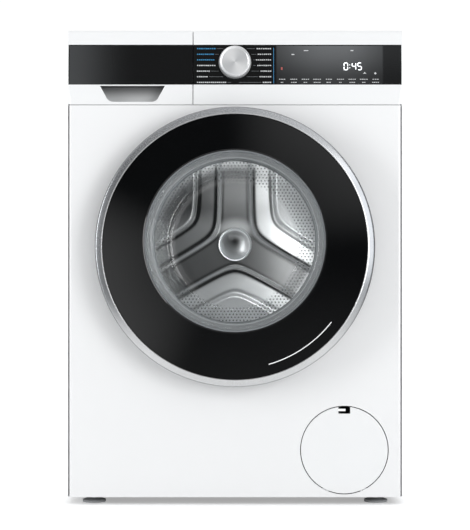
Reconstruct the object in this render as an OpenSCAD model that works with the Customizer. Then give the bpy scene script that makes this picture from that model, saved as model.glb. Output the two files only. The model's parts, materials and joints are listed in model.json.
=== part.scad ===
// Front load washer-dryer with a round glazed door, a rotary programme selector,
// a detergent drawer and a round service flap.
// Millimetres. Z is up, the front faces -Y, and the origin is on the floor under the middle.

/* [Cabinet] */
// Width over the side panels
body_w = 598; // [570:1:720]
// Height from the floor to the worktop
body_h = 848; // [820:1:1020]
// Depth from the front panel's face to the worktop's back edge
body_d = 590; // [560:1:710]
// Sheet steel thickness of the panels
sheet = 1.2; // [0.8:0.1:2]
// Gap between the floor and the base
foot_gap = 14; // [12:1:24]
// Thread radius of the levelling feet
foot_stud_r = 5; // [4:0.5:6]
// Thickness of the worktop
top_t = 22; // [16:1:28]

/* [Fascia] */
// Height of the fascia
fascia_h = 134; // [125:1:160]
// Angle the fascia leans back
lean = 4; // [0:0.5:5]
// Width of the drawer's share of the fascia
drawer_w = 224; // [200:1:230]
// Height of the dark strip
strip_h = 72; // [60:1:84]
// Radius of the programme knob
knob_r = 29; // [24:0.5:34]
// Radius of the knob's stem
stem_r = 3; // [2.5:0.1:4]
// How far the drawer slides out
drawer_travel = 190; // [150:5:205]

/* [Door] */
// How far the door stands out of the front panel
door_proud = 42; // [38:1:50]
// Radius of the door's outer ring
door_r = 247; // [206:1:255]
// Width of the outer ring seen from the front
ring_w = 13.5; // [8:0.5:16]
// Radius of the window
window_r = 160; // [150:1:166]
// Radius of the hinge pin
hinge_pin_r = 4; // [3:0.1:5]
// How far the bowl reaches behind the front panel
bowl_depth = 100; // [80:1:105]

/* [Drum and tub] */
// Radius of the drum
drum_r = 245; // [204:1:246]
// Free space between the drum and the tub
drum_gap = 11; // [9:0.5:14]
// Radius of the drum shaft at its front bearing
shaft_r = 15; // [12.5:0.5:18]
// Radius of the large belt pulley
pulley_r = 140; // [116:1:150]
// Radius of the motor's pulley
motor_pulley_r = 11; // [9:0.5:13]
// Travel of the suspended tub each way
tub_travel = 8; // [4:0.5:9]

/* [Service parts] */
// Radius of the service flap
flap_r = 77.4; // [64:0.2:78]
// Radius of the flap's hinge pins
flap_pin_r = 1.6; // [1.2:0.1:1.9]
// Outside radius of the inlet valve's thread
inlet_r = 13.2; // [13:0.1:13.4]
// Radius of the drain hose's spigot
spigot_r = 9.5; // [8:0.5:11]

/* [Hidden] */
$fn = 96;

hw = body_w / 2;
yf = -(body_d + door_proud) / 2 + door_proud;
yr = (body_d + door_proud) / 2;
back_y = yr - 14;
z0 = foot_gap;
fz = body_h - fascia_h;
gap = 0.7;
split_x = -hw + drawer_w;
fascia_d = 24;
under_top = body_h - top_t;
door_z = body_h - 388;
drum_z = door_z + 10;
side_in = hw - sheet;

// the fascia's own measures, along its leaning face
strip_low = (fascia_h - strip_h) / 2 + 5;
strip_top = strip_low + strip_h;
knob_h = strip_low + strip_h * 0.55;
glass_t = 2.5;
skin = 6;
board_y = 13;

// the door and its hinge
frame_r = door_r - ring_w;
hinge_x = -door_r + 11;
hinge_y = yf - 20;
mouth_r = window_r + 24;
hook_x = mouth_r + 16;
hook_y = yf - 12;
lip_y = 27.5;
lip_r = window_r - 14.4;

// the tub and drum, front to back
tub_r = drum_r + drum_gap + 6;
tub_wall = 5;
tub_y = yf + 62;
tub_split = yf + body_d * 0.42;
drum_y = yf + 78;
drum_back_y = yf + body_d - 168;
tub_back = drum_back_y + 40;
hub_end = tub_back + 48;
pulley_y = hub_end + 8;
pulley_w = 16;
rear_shaft_r = shaft_r - 2.5;
front_bearing_r = shaft_r * 2 + 1;
rear_bearing_r = rear_shaft_r * 2 + 1;
collar_r = mouth_r + 1;
motor_r = 56;
motor_z = drum_z - tub_r - 96;
motor_y = tub_back - 100;
motor_len = 130;
rotor_r = 38;
sump_z = drum_z - tub_r - 26;

// suspension
spring_x = hw - 59;
spring_y = tub_split + 42;
spring_low = drum_z + 150;
spring_high = under_top - 30;
damper_x = 150;
damper_y = tub_split + 42;
damper_top = drum_z - sqrt(tub_r * tub_r - damper_x * damper_x) - 4;

// base, flap and pump
base_y = yf + 16;
base_back = back_y - sheet - 0.4;
floor_z = z0 + 12;
foot_x = hw - 44;
foot_y1 = yf + 45;
foot_y2 = back_y - 34;
flap_x = hw - 104;
flap_z = z0 + 84;
flap_gap = 1.6;
flap_pin_y = yf + 3.6;
flap_pin_z = flap_z - flap_r + 7.4;
pump_y1 = yf + 24;
pump_y2 = yf + 150;
hose_x = hw - 37;
drain_y = pump_y1 + 96;

// the dispenser
box_low = fz + 28;
box_x1 = -hw + 8;
box_x2 = split_x - 12;
box_d = 212;
fill_x = (box_x1 + box_x2) / 2;
fill_y = yf + fascia_d + box_d - 18;

// the dryer's fan on top of the tub
fan_x = 112;
fan_y = yf + 350;
fan_z = drum_z + tub_r + 10;
fan_r = 66;
weight_x1 = split_x + 5;
weight_x2 = fan_x - fan_r - 10;

inlet_x = hw - 119;
inlet_z = under_top - 38;
gland_x = -hw + 69;

// a solid cylinder along Y from y1 to y2
module rod_y(r, x, z, y1, y2) {
    translate([x, y1, z]) rotate([-90, 0, 0]) cylinder(h = y2 - y1, r = r);
}

// a ring around Y from y1 to y2
module ring_y(ro, ri, x, z, y1, y2) {
    difference() {
        rod_y(ro, x, z, y1, y2);
        rod_y(ri, x, z, y1 - 1, y2 + 1);
    }
}

// an outline of radius and Y, turned around the Y axis at height z
module turned_y(points, z) {
    translate([0, 0, z]) rotate([-90, 0, 0]) rotate_extrude() polygon(points);
}

// an outline of Y and Z, drawn out along X
module along_x(points, x1, x2) {
    translate([x1, 0, 0]) rotate([90, 0, 90]) linear_extrude(x2 - x1) polygon(points);
}

// a box by its low and high corners
module box(low, high) {
    translate(low) cube([high[0] - low[0], high[1] - low[1], high[2] - low[2]]);
}

// things given in the fascia's leaning frame, with y = 0 on its face
module on_fascia() {
    translate([0, yf, fz]) rotate([-lean, 0, 0]) children();
}

// the cabinet's plan with round front edges
module rounded_plan(r, z1, z2) {
    translate([0, 0, z1]) linear_extrude(z2 - z1) union() {
        translate([-hw + r, yf]) square([body_w - 2 * r, 60]);
        translate([-hw, yf + r]) square([body_w, 60 - r]);
        for (s = [-1, 1]) translate([s * (hw - r), yf + r]) circle(r);
    }
}

// a tube along the straight line between two points
module tube_part(a, b, ro, ri) {
    d = b - a;
    len = norm(d);
    translate(a) rotate([0, acos(d[2] / len), atan2(d[1], d[0])]) difference() {
        cylinder(h = len, r = ro);
        translate([0, 0, -1]) cylinder(h = len + 2, r = ri);
    }
}

// a hose through a list of points, hollow all the way, with round elbows
module hose(points, ro, ri) {
    last = len(points) - 1;
    difference() {
        union() {
            for (i = [0 : last - 1]) tube_part(points[i], points[i + 1], ro, 0.01);
            for (i = [1 : last - 1]) translate(points[i]) sphere(ro);
        }
        for (i = [0 : last - 1]) hose_bore(points[i], points[i + 1], ri, i == 0, i == last - 1);
        for (i = [1 : last - 1]) translate(points[i]) sphere(ri);
    }
}

// the hollow of one length of hose, run past the hose's two open ends
module hose_bore(a, b, r, first, final) {
    d = b - a;
    len = norm(d);
    back = first ? 1 : 0;
    past = final ? 1 : 0;
    translate(a) rotate([0, acos(d[2] / len), atan2(d[1], d[0])])
        translate([0, 0, -back]) cylinder(h = len + back + past, r = r);
}

// ---- cabinet ----

// a box from the cabinet's outside in to x, on the side s
module side_strip(s, x, low, high) {
    box([min(s * hw, s * x), low[0], low[1]], [max(s * hw, s * x), high[0], high[1]]);
}

module side_panel(s) {
    y1 = yf + 12.3;
    color("white") difference() {
        union() {
            side_strip(s, side_in, [y1, z0], [back_y, under_top]);
            side_strip(s, hw - 16, [y1, z0], [y1 + sheet, fz - 2]);
            side_strip(s, hw - 14, [back_y - sheet, z0], [back_y, under_top]);
            side_strip(s, hw - 14, [yf + 30, under_top - sheet], [back_y, under_top]);
        }
        box([-hw - 1, yf, fz - 1.5], [hw + 1, yf + fascia_d + 1, body_h]);
    }
}

module side_panel_left() {
    side_panel(-1);
}

module side_panel_right() {
    side_panel(1);
}

module rear_panel() {
    color("silver") difference() {
        box([-hw + 14.2, back_y - sheet, z0], [hw - 14.2, back_y, under_top]);
        box([-180, back_y - 5, drum_z - 190], [180, back_y + 1, drum_z + 190]);
        rod_y(inlet_r + 4, inlet_x, inlet_z, back_y - 5, back_y + 1);
        rod_y(12, gland_x, inlet_z, back_y - 5, back_y + 1);
        rod_y(spigot_r + 0.5, hose_x, flap_z, back_y - 5, back_y + 1);
        for (s = [-1, 1], k = [0 : 7])
            box([s * 225 - 14, back_y - 5, z0 + 70 + k * 14], [s * 225 + 14, back_y + 1, z0 + 75 + k * 14]);
        for (p = cover_points()) rod_y(2.1, p[0], p[1], back_y - 5, back_y + 1);
    }
}

function cover_points() = [for (s = [-1, 1], k = [-1, 0, 1]) [s * 192, drum_z + k * 180]];

module rear_cover() {
    color("silver") difference() {
        union() {
            box([-202, back_y, drum_z - 202], [202, back_y + sheet, drum_z + 202]);
            box([-172, back_y, drum_z - 172], [172, back_y + 11, drum_z + 172]);
        }
        box([-170.8, back_y - 1, drum_z - 170.8], [170.8, back_y + 11 - sheet, drum_z + 170.8]);
        for (p = cover_points()) rod_y(2.1, p[0], p[1], back_y - 5, back_y + 5);
        for (k = [-3 : 3])
            box([-60, back_y + 8, drum_z + k * 20 - 2.5], [60, back_y + 12, drum_z + k * 20 + 2.5]);
    }
}

module cover_screws() {
    color("gray") for (p = cover_points()) {
        rod_y(2, p[0], p[1], back_y - 8, back_y + sheet);
        difference() {
            rod_y(4.5, p[0], p[1], back_y + sheet, back_y + sheet + 3);
            translate([p[0], back_y + sheet + 1, p[1]]) rotate([-90, 0, 0]) cylinder(h = 3, r = 2.2, $fn = 6);
        }
    }
}

module front_panel() {
    color("white") difference() {
        union() {
            difference() {
                intersection() {
                    rounded_plan(8, z0, fz - 1);
                    box([-hw, yf, z0], [hw, yf + 12, fz - 1]);
                }
                box([-hw + sheet, yf + sheet, z0 + sheet], [hw - sheet, yf + 13, fz]);
            }
            intersection() {
                ring_y(mouth_r + sheet, mouth_r, 0, drum_z, yf, yf + 12);
                box([-hw, yf, z0], [hw, yf + 12, fz]);
            }
        }
        rod_y(mouth_r, 0, drum_z, yf - 1, yf + 14);
        rod_y(flap_r + flap_gap, flap_x, flap_z, yf - 1, yf + 5);
        box([hook_x - 10, yf - 1, door_z - 15], [hook_x + 16, yf + 5, door_z + 15]);
        for (dz = [-42, 42]) rod_y(2.6, hinge_x + 36, door_z + dz, yf - 1, yf + 5);
    }
}

module base_tray() {
    color("dimgray") difference() {
        union() {
            difference() {
                box([-side_in + 0.3, base_y, z0], [side_in - 0.3, base_back, z0 + 36]);
                box([-side_in + 3.3, base_y + 3, floor_z + 3], [side_in - 3.3, base_back - 3, z0 + 40]);
                box([-side_in + 3.3, base_y + 3, z0 - 1], [side_in - 3.3, base_back - 3, floor_z]);
            }
            for (s = [-1, 1], y = [foot_y1, foot_y2])
                translate([s * foot_x, y, z0]) cylinder(h = 30, r = 20);
            for (s = [-1, 1])
                translate([s * damper_x, damper_y, floor_z]) cylinder(h = 18, r = 22);
            for (k = [-1, 1])
                box([k * 90 - 1.5, base_y + 3, z0], [k * 90 + 1.5, base_back - 3, floor_z]);
            for (s = [-1, 1])
                box([flap_x + s * 47 - 3, yf + sheet + 0.1, flap_pin_z - 6],
                    [flap_x + s * 47 + 3, base_y + 1, flap_pin_z + 5]);
        }
        for (s = [-1, 1], y = [foot_y1, foot_y2])
            translate([s * foot_x, y, z0 - 1]) cylinder(h = 40, r = foot_stud_r + 0.05);
        translate([flap_x - 51, flap_pin_y, flap_pin_z]) rotate([0, 90, 0])
            cylinder(h = 102, r = flap_pin_r + 0.05);
    }
}

module worktop() {
    color("whitesmoke") difference() {
        box([-hw, yf + fascia_d + 0.6, under_top], [hw, yr, body_h]);
        box([-hw + 18, yf + fascia_d + 18, under_top - 1], [hw - 18, yr - 30, body_h - 16]);
    }
}

module foot_parts(low) {
    for (s = [-1, 1], y = [foot_y1, foot_y2]) translate([s * foot_x, y, low]) children();
}

module levelling_feet() {
    color("black") foot_parts(0) {
        cylinder(h = 4, r = 21);
        translate([0, 0, 4]) cylinder(h = 3, r1 = 21, r2 = 13);
        cylinder(h = z0 + 32, r = foot_stud_r);
    }
}

module foot_lock_nuts() {
    color("silver") foot_parts(z0 - 6) difference() {
        cylinder(h = 6, r = foot_stud_r * 1.9, $fn = 6);
        translate([0, 0, -1]) cylinder(h = 8, r = foot_stud_r + 0.02);
    }
}

// ---- fascia ----

module fascia_block(x1, x2, d) {
    top_y = yf + fascia_h * tan(lean);
    intersection() {
        along_x([[yf, fz], [top_y - 0.3, body_h - 5], [top_y + 1.2, body_h - 1.5],
            [top_y + 5, body_h], [yf + d, body_h], [yf + d, fz]], x1, x2);
        rounded_plan(9, fz - 1, body_h + 1);
    }
}

module fascia_hollow(x1, x2) {
    top_y = yf + fascia_h * tan(lean);
    along_x([[yf + skin, fz + 3], [top_y + skin, body_h - 3], [yf + 40, body_h - 3],
        [yf + 40, fz + 3]], x1, x2);
}

module strip(x1, x2) {
    intersection() {
        on_fascia() box([x1, 0, strip_low], [x2, glass_t, strip_top]);
        rounded_plan(9, fz, body_h);
    }
}

module control_panel() {
    color("white") union() {
        difference() {
            fascia_block(split_x + gap, hw, fascia_d);
            fascia_hollow(split_x + gap + 3, hw - 3);
            on_fascia() box([split_x, -1, strip_low], [hw - 1.5, glass_t, strip_top]);
            on_fascia() box([150, 0, knob_h - 12], [262, 12, knob_h + 12]);
            on_fascia() translate([0, -1, knob_h]) rotate([-90, 0, 0]) cylinder(h = 20, r = stem_r + 1);
        }
        on_fascia() for (x = [76, 274], z = [strip_low + 6, strip_top - 6])
            translate([x, skin - 0.5, z]) rotate([-90, 0, 0]) cylinder(h = board_y - skin + 0.5, r = 3.5);
    }
}

module panel_glass() {
    color("black") difference() {
        strip(split_x + gap, hw - 1.5);
        on_fascia() translate([0, -1, knob_h]) rotate([-90, 0, 0]) cylinder(h = 20, r = stem_r + 1);
    }
}

module control_board() {
    color("darkgreen") on_fascia() union() {
        box([66, board_y, strip_low], [284, board_y + 1.6, strip_top]);
        box([155, 3, knob_h - 10], [257, board_y, knob_h + 10]);
        for (x = [80 : 38 : 232])
            box([x, board_y + 1.6, strip_low + 12], [x + 18, board_y + 7, strip_low + 40]);
    }
}

module selector_encoder() {
    color("dimgray") on_fascia() difference() {
        union() {
            box([-14, board_y, knob_h - 14], [14, board_y + 8, knob_h + 14]);
            box([-30, board_y - 1.6, knob_h - 22], [30, board_y, knob_h + 22]);
            for (x = [-26, 26], z = [knob_h - 18, knob_h + 18])
                translate([x, skin + 0.2, z]) rotate([-90, 0, 0]) cylinder(h = board_y - skin - 1, r = 3);
        }
        translate([0, 0, knob_h]) rotate([-90, 0, 0]) cylinder(h = 40, r = stem_r + 0.05);
    }
}

module selector_knob() {
    color("silver") on_fascia() translate([0, 0, knob_h]) rotate([90, 0, 0]) union() {
        rotate_extrude() polygon([[0, 0.6], [knob_r, 0.6], [knob_r, 4], [knob_r - 1.5, 15.5],
            [knob_r - 3, 17], [knob_r - 4.5, 16.2], [0, 15.2]]);
        translate([0, 0, -board_y - 7]) cylinder(h = board_y + 9, r = stem_r);
    }
}

// ---- detergent drawer ----

function grip_x() = (-hw + split_x) / 2 + 4;

// the recess narrows downwards, and its lower corners are round
module grip_outline(grow) {
    r = 14 + grow;
    top_x = 58 + 1.68 * grow;
    side_x = 34 + 0.88 * r - 0.3;
    translate([grip_x(), 0]) {
        polygon([[-top_x, 34 + grow], [top_x, 34 + grow], [side_x, 19 - 0.475 * r],
            [-side_x, 19 - 0.475 * r]]);
        translate([-34, 5 - grow]) square([68, 24]);
        for (s = [-1, 1]) translate([s * 34, 19]) circle(r);
    }
}

module grip(grow, d1, d2) {
    on_fascia() translate([0, d2, 0]) rotate([90, 0, 0]) linear_extrude(d2 - d1) grip_outline(grow);
}

module drawer_front() {
    color("white") difference() {
        union() {
            difference() {
                fascia_block(-hw, split_x - gap, fascia_d);
                fascia_hollow(-hw + 3, split_x - gap - 3);
            }
            intersection() {
                grip(2.5, 1, 20);
                fascia_block(-hw, split_x - gap, fascia_d);
            }
        }
        grip(0, -4, 17.5);
        on_fascia() box([-hw + 1.5, -1, strip_low], [split_x, glass_t, strip_top]);
    }
}

module drawer_glass() {
    color("black") strip(-hw + 1.5, split_x - gap);
}

module drawer_box() {
    x1 = box_x1 + 4;
    x2 = box_x2 - 4;
    y1 = yf + fascia_d;
    y2 = y1 + box_d;
    mid = x1 + (x2 - x1) * 0.36;
    mid2 = x1 + (x2 - x1) * 0.68;
    color("gainsboro") difference() {
        box([x1, y1, box_low + 3], [x2, y2, box_low + 62]);
        box([x1 + 2, y1 + 2, box_low + 8], [mid - 1, y2 - 2, box_low + 70]);
        box([mid + 1, y1 + 2, box_low + 8], [mid2 - 1, y2 - 2, box_low + 70]);
        box([mid2 + 1, y1 + 2, box_low + 8], [x2 - 2, y2 - 2, box_low + 70]);
        for (k = [0 : 2])
            translate([x1 + (x2 - x1) * (0.18 + 0.33 * k), y2 - 24, box_low]) cylinder(h = 20, r = 6);
    }
}

module siphon_cap() {
    x = box_x1 + 4 + (box_x2 - box_x1 - 8) * 0.51;
    y = yf + fascia_d + box_d - 24;
    color("steelblue") union() {
        difference() {
            translate([x, y, box_low + 8.2]) cylinder(h = 34, r = 9);
            translate([x, y, box_low + 8]) cylinder(h = 30, r = 7);
        }
        box([x - 24, y - 40, box_low + 42], [x + 24, y + 18, box_low + 44.5]);
        translate([x, y - 26, box_low + 44]) cylinder(h = 5, r = 8);
    }
}

module dispenser_housing() {
    y1 = yf + fascia_d + 2;
    y2 = y1 + box_d + 20;
    color("lightgray") difference() {
        union() {
            box([box_x1, y1, box_low - 4], [box_x2, y2, under_top - 2]);
            translate([fill_x, fill_y, box_low - 30]) cylinder(h = 30, r = 16);
            rod_y(11, box_x2 - 30, inlet_z, y2 - 1, y2 + 18);
        }
        box([box_x1 + 2.4, y1 - 1, box_low + 1.6], [box_x2 - 2.4, y2 - 2.4, under_top - 4.4]);
        box([box_x1 + 10, y1 + 60, box_low - 1.5], [box_x2 - 10, y2 - 8, box_low + 2]);
        translate([fill_x, fill_y, box_low - 31]) cylinder(h = 40, r = 13);
        rod_y(8, box_x2 - 30, inlet_z, y2 - 5, y2 + 20);
    }
}

// ---- door ----

module hinge_notch() {
    box([hinge_x - 20, hinge_y - 9, door_z - 40], [hinge_x + 34, yf + 1, door_z + 40]);
    box([hinge_x - 20, yf - 5, door_z - 54], [hinge_x + 50, yf + 1, door_z + 54]);
}

// the hinge arm's two tabs, let into the frame
module hinge_tabs() {
    for (s = [-1, 1])
        box([hinge_x + 33, hinge_y - 8, door_z + s * 18 - 3], [hinge_x + 46, hinge_y - 4, door_z + s * 18 + 3]);
}

module door_ring() {
    d = door_proud;
    color("silver") difference() {
        turned_y([[frame_r, yf - d + 3], [frame_r + 2, yf - d + 0.6], [frame_r + 4, yf - d],
            [door_r - 3.5, yf - d + 1.4], [door_r - 1, yf - d + 4], [door_r, yf - d + 8],
            [door_r, yf - 5], [door_r - 2, yf - 1], [frame_r, yf - 1]], door_z);
        hinge_notch();
    }
}

module door_glass_ring() {
    d = door_proud;
    color("black") difference() {
        rod_y(frame_r - 0.1, 0, door_z, yf - d + 3, yf - d + 7);
        rod_y(window_r, 0, drum_z, yf - d, yf - d + 8);
    }
}

module door_frame() {
    d = door_proud;
    color("gray") difference() {
        rod_y(frame_r - 0.1, 0, door_z, yf - d + 7, yf - 1);
        rod_y(window_r - 2, 0, drum_z, yf - d, yf);
        difference() {
            rod_y(frame_r - 8, 0, door_z, yf - d + 10, yf - 4);
            rod_y(window_r + 12, 0, drum_z, yf - d, yf);
            box([hinge_x, yf - d, door_z - 62], [hinge_x + 78, yf, door_z + 62]);
            box([hook_x - 22, yf - d, door_z - 34], [hook_x + 60, yf, door_z + 34]);
        }
        hinge_notch();
        box([hook_x - 12, yf - 26, door_z - 12], [hook_x + 14, yf + 1, door_z + 12]);
        translate([hook_x, hook_y, door_z - 18]) cylinder(h = 36, r = 2.05);
        hinge_tabs();
    }
}

module door_bowl() {
    d = door_proud;
    b = bowl_depth;
    w = window_r - 2.3;
    color("lightblue", 0.5) turned_y([[0, yf + b], [lip_r - 34, yf + b], [lip_r - 24, yf + b - 4],
        [lip_r - 19, yf + b - 12], [lip_r - 2, yf + 36], [lip_r - 0.4, yf + lip_y],
        [w - 4, yf - 2], [w, yf - 6], [w, yf - d + 10], [w - 10, yf - d + 10], [w - 10, yf - d + 15],
        [lip_r - 5.5, yf + lip_y], [lip_r - 24, yf + b - 14], [lip_r - 34, yf + b - 6],
        [0, yf + b - 6]], drum_z);
}

module door_hinge() {
    color("silver") difference() {
        union() {
            box([hinge_x, hinge_y - 8, door_z - 26], [hinge_x + 33.9, hinge_y + 8, door_z + 26]);
            translate([hinge_x, hinge_y, door_z - 26]) cylinder(h = 52, r = 8);
            hinge_tabs();
        }
        translate([hinge_x, hinge_y, door_z - 30]) cylinder(h = 60, r = hinge_pin_r);
    }
}

module hinge_pin() {
    color("gray") translate([hinge_x, hinge_y, door_z - 36]) cylinder(h = 72, r = hinge_pin_r);
}

module hinge_bracket() {
    color("silver") difference() {
        union() {
            box([hinge_x + 20, yf - 3, door_z - 50], [hinge_x + 48, yf, door_z + 50]);
            for (k = [-1, 1]) translate([0, 0, door_z + k * 31 - 4]) linear_extrude(8) union() {
                translate([hinge_x, hinge_y]) circle(6.5);
                polygon([[hinge_x - 1, hinge_y + 6.4], [hinge_x + 4, hinge_y - 5], [hinge_x + 34, yf - 3],
                    [hinge_x + 20, yf - 1], [hinge_x + 17, yf - 3]]);
            }
        }
        translate([hinge_x, hinge_y, door_z - 60]) cylinder(h = 120, r = hinge_pin_r + 0.05);
        for (dz = [-42, 42]) rod_y(2.6, hinge_x + 36, door_z + dz, yf - 10, yf + 5);
    }
}

module door_hook() {
    color("gainsboro") union() {
        translate([hook_x, hook_y, door_z - 10]) linear_extrude(20) union() {
            circle(5.5);
            polygon([[-5.4, 0], [5.4, 0], [4, 20], [9, 20], [9, 21.5], [3, 27], [-3, 27]]);
        }
        translate([hook_x, hook_y, door_z - 17]) cylinder(h = 34, r = 2);
    }
}

module door_lock() {
    color("white") difference() {
        box([mouth_r + sheet + 0.5, yf + sheet + 0.2, door_z - 36], [hook_x + 36, yf + 32, door_z + 36]);
        box([hook_x - 9, yf - 1, door_z - 13], [hook_x + 6.5, yf + 6, door_z + 13]);
        box([hook_x - 12, yf + 5.9, door_z - 14], [hook_x + 16, yf + 24, door_z + 14]);
    }
}

module door_gasket() {
    m = mouth_r - 0.1;
    color("dimgray") difference() {
        turned_y([[m, yf + 0.5], [m, yf + 13], [lip_r + 7.4, yf + 29.5], [lip_r + 7.4, yf + 33],
            [collar_r + 7, yf + 47], [collar_r + 7, yf + 60], [collar_r + 0.3, yf + 60],
            [collar_r + 0.3, yf + 51], [lip_r + 3, yf + 36.5], [lip_r - 0.7, yf + 34],
            [lip_r, yf + lip_y], [m - 8, yf + 12], [m - 8, yf + 0.5]], drum_z);
        translate([0, yf + 6.5, drum_z]) rotate([-90, 0, 0])
            rotate_extrude() translate([m - 7.6, 0]) circle(2.2);
    }
}

module gasket_clamp() {
    color("silver") translate([0, yf + 6.5, drum_z]) rotate([-90, 0, 0])
        rotate_extrude() translate([mouth_r - 7.7, 0]) circle(2);
}

// ---- tub ----

module tub_front() {
    color("gainsboro") difference() {
        union() {
            rod_y(tub_r, 0, drum_z, tub_y, tub_split);
            ring_y(tub_r + 5, tub_r - 1, 0, drum_z, tub_split - 10, tub_split);
            rod_y(collar_r, 0, drum_z, tub_y - 11, tub_y + 1);
            box([-74, tub_y + 30, sump_z], [74, tub_split, drum_z - tub_r + 12]);
            translate([60, drain_y, sump_z - 18]) cylinder(h = 30, r = 18);
            translate([fill_x, fill_y, drum_z + 100]) cylinder(h = box_low - 48 - drum_z - 100, r = 16);
        }
        rod_y(tub_r - tub_wall, 0, drum_z, tub_y + 6, tub_split + 1);
        rod_y(collar_r - 4, 0, drum_z, tub_y - 20, tub_y + 20);
        box([-69, tub_y + 35, sump_z + 5], [69, tub_split + 1, drum_z]);
        translate([60, drain_y, sump_z - 30]) cylinder(h = 60, r = 14);
        translate([fill_x, fill_y, drum_z + 90]) cylinder(h = 200, r = 13);
    }
}

module tub_rear() {
    color("gainsboro") difference() {
        union() {
            rod_y(tub_r, 0, drum_z, tub_split, tub_back + tub_wall);
            ring_y(tub_r + 5, tub_r - 1, 0, drum_z, tub_split, tub_split + 10);
            rod_y(front_bearing_r + 24, 0, drum_z, tub_back, hub_end);
            for (a = [0 : 30 : 330]) translate([0, 0, drum_z]) rotate([0, a, 0])
                box([front_bearing_r, tub_back, -3], [tub_r - 3, tub_back + 22, 3]);
            box([-74, tub_split, sump_z], [74, tub_back - 4, drum_z - tub_r + 12]);
            for (s = [-1, 1])
                box([s * damper_x - 12, damper_y - 12, damper_top],
                    [s * damper_x + 12, damper_y + 12, damper_top + 40]);
            for (s = [-1, 1])
                box([s * (spring_x - 12) - 14, spring_y - 9, spring_low - 60],
                    [s * (spring_x - 12) + 14, spring_y + 9, spring_low - 3]);
            for (x = [-38, 38])
                box([x - 8, motor_y + 20, motor_z + motor_r + 4], [x + 8, motor_y + 60, sump_z + 1]);
        }
        rod_y(tub_r - tub_wall, 0, drum_z, tub_split - 1, tub_back);
        box([-69, tub_split - 1, sump_z + 5], [69, tub_back - 9, drum_z]);
        rod_y(front_bearing_r, 0, drum_z, tub_back + 6, tub_back + 24);
        rod_y(rear_bearing_r, 0, drum_z, hub_end - 15, hub_end + 1);
        rod_y(rear_bearing_r - 4, 0, drum_z, tub_back + 10, hub_end + 1);
        rod_y(front_bearing_r - 3, 0, drum_z, tub_back - 1, tub_back + 8);
    }
}

module drum_bearings() {
    color("silver") union() {
        ring_y(front_bearing_r, shaft_r + 0.03, 0, drum_z, tub_back + 8, tub_back + 24);
        ring_y(rear_bearing_r, rear_shaft_r + 0.03, 0, drum_z, hub_end - 15, hub_end);
    }
}

module shaft_seal() {
    color("black") ring_y(front_bearing_r - 3, shaft_r + 0.1, 0, drum_z, tub_back - 0, tub_back + 6);
}

module heater_element() {
    y1 = tub_y + 60;
    y2 = tub_back - 9;
    z = sump_z + 18;
    color("gray") union() {
        for (s = [-1, 1]) rod_y(4, s * 30, z, y1 + 30, y2 - 0.2);
        translate([0, y1 + 30, z]) intersection() {
            rotate_extrude() translate([30, 0]) circle(4);
            box([-40, -40, -6], [40, 0, 6]);
        }
        box([-48, y2 - 4, z - 11], [48, y2 - 0.2, z + 11]);
    }
}

module counterweight_top() {
    color("darkgray") difference() {
        box([weight_x1, yf + 108, drum_z + tub_r - 40], [weight_x2, yf + 290, drum_z + tub_r + 52]);
        rod_y(tub_r + 5.2, 0, drum_z, yf + 60, yf + 310);
        for (x = [weight_x1 + 18, weight_x2 - 18]) translate([x, yf + 199, drum_z]) cylinder(h = 400, r = 7);
    }
}

module counterweight_front() {
    color("darkgray") difference() {
        rod_y(tub_r - 6, 0, drum_z, tub_y - 24, tub_y - 0.1);
        rod_y(collar_r + 16, 0, drum_z, tub_y - 30, tub_y + 5);
        box([-tub_r, tub_y - 40, drum_z - tub_r], [tub_r, tub_y + 5, drum_z - 150]);
        for (a = [20, 70, 110, 160])
            rod_y(6, (tub_r - 27) * cos(a), drum_z + (tub_r - 27) * sin(a), tub_y - 40, tub_y + 5);
    }
}

module damper_rods() {
    color("silver") for (s = [-1, 1]) translate([s * damper_x, damper_y, 0]) union() {
        translate([0, 0, floor_z + 66]) cylinder(h = damper_top - floor_z - 66, r = 5);
        translate([0, 0, floor_z + 60]) cylinder(h = 14, r = 11);
    }
}

module damper_cylinders() {
    top = damper_top - 46;
    color("dimgray") for (s = [-1, 1]) translate([s * damper_x, damper_y, 0]) difference() {
        union() {
            translate([0, 0, floor_z + 18]) cylinder(h = top - floor_z - 18, r = 15);
            translate([0, 0, floor_z + 18]) cylinder(h = 8, r = 20);
        }
        translate([0, 0, floor_z + 36]) cylinder(h = top - floor_z - 36 - 4, r = 11.1);
        translate([0, 0, floor_z + 60]) cylinder(h = 200, r = 5.05);
    }
}

// a coil spring of square wire, wound around Z
module coil(r, wire, height, turns) {
    arc = 360 * wire * turns / height;
    steps = 4;
    outline = concat(
        [for (i = [0 : steps]) (r + wire / 2) * [cos(arc * i / steps), sin(arc * i / steps)]],
        [for (i = [steps : -1 : 0]) (r - wire / 2) * [cos(arc * i / steps), sin(arc * i / steps)]]);
    linear_extrude(height, twist = -360 * turns, slices = 12 * turns, $fn = 3) polygon(outline);
}

module suspension_springs() {
    color("silver") for (s = [-1, 1]) translate([s * spring_x, spring_y, spring_low]) union() {
        coil(12, 4, spring_high - spring_low, 10);
        cylinder(h = 3, r = 13.8);
        translate([0, 0, spring_high - spring_low - 3]) cylinder(h = 3, r = 13.8);
        translate([0, 0, spring_high - spring_low - 3]) cylinder(h = 33, r = 3);
        translate([0, 0, -2.8]) cylinder(h = 5, r = 3);
    }
}

// ---- drum ----

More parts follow.
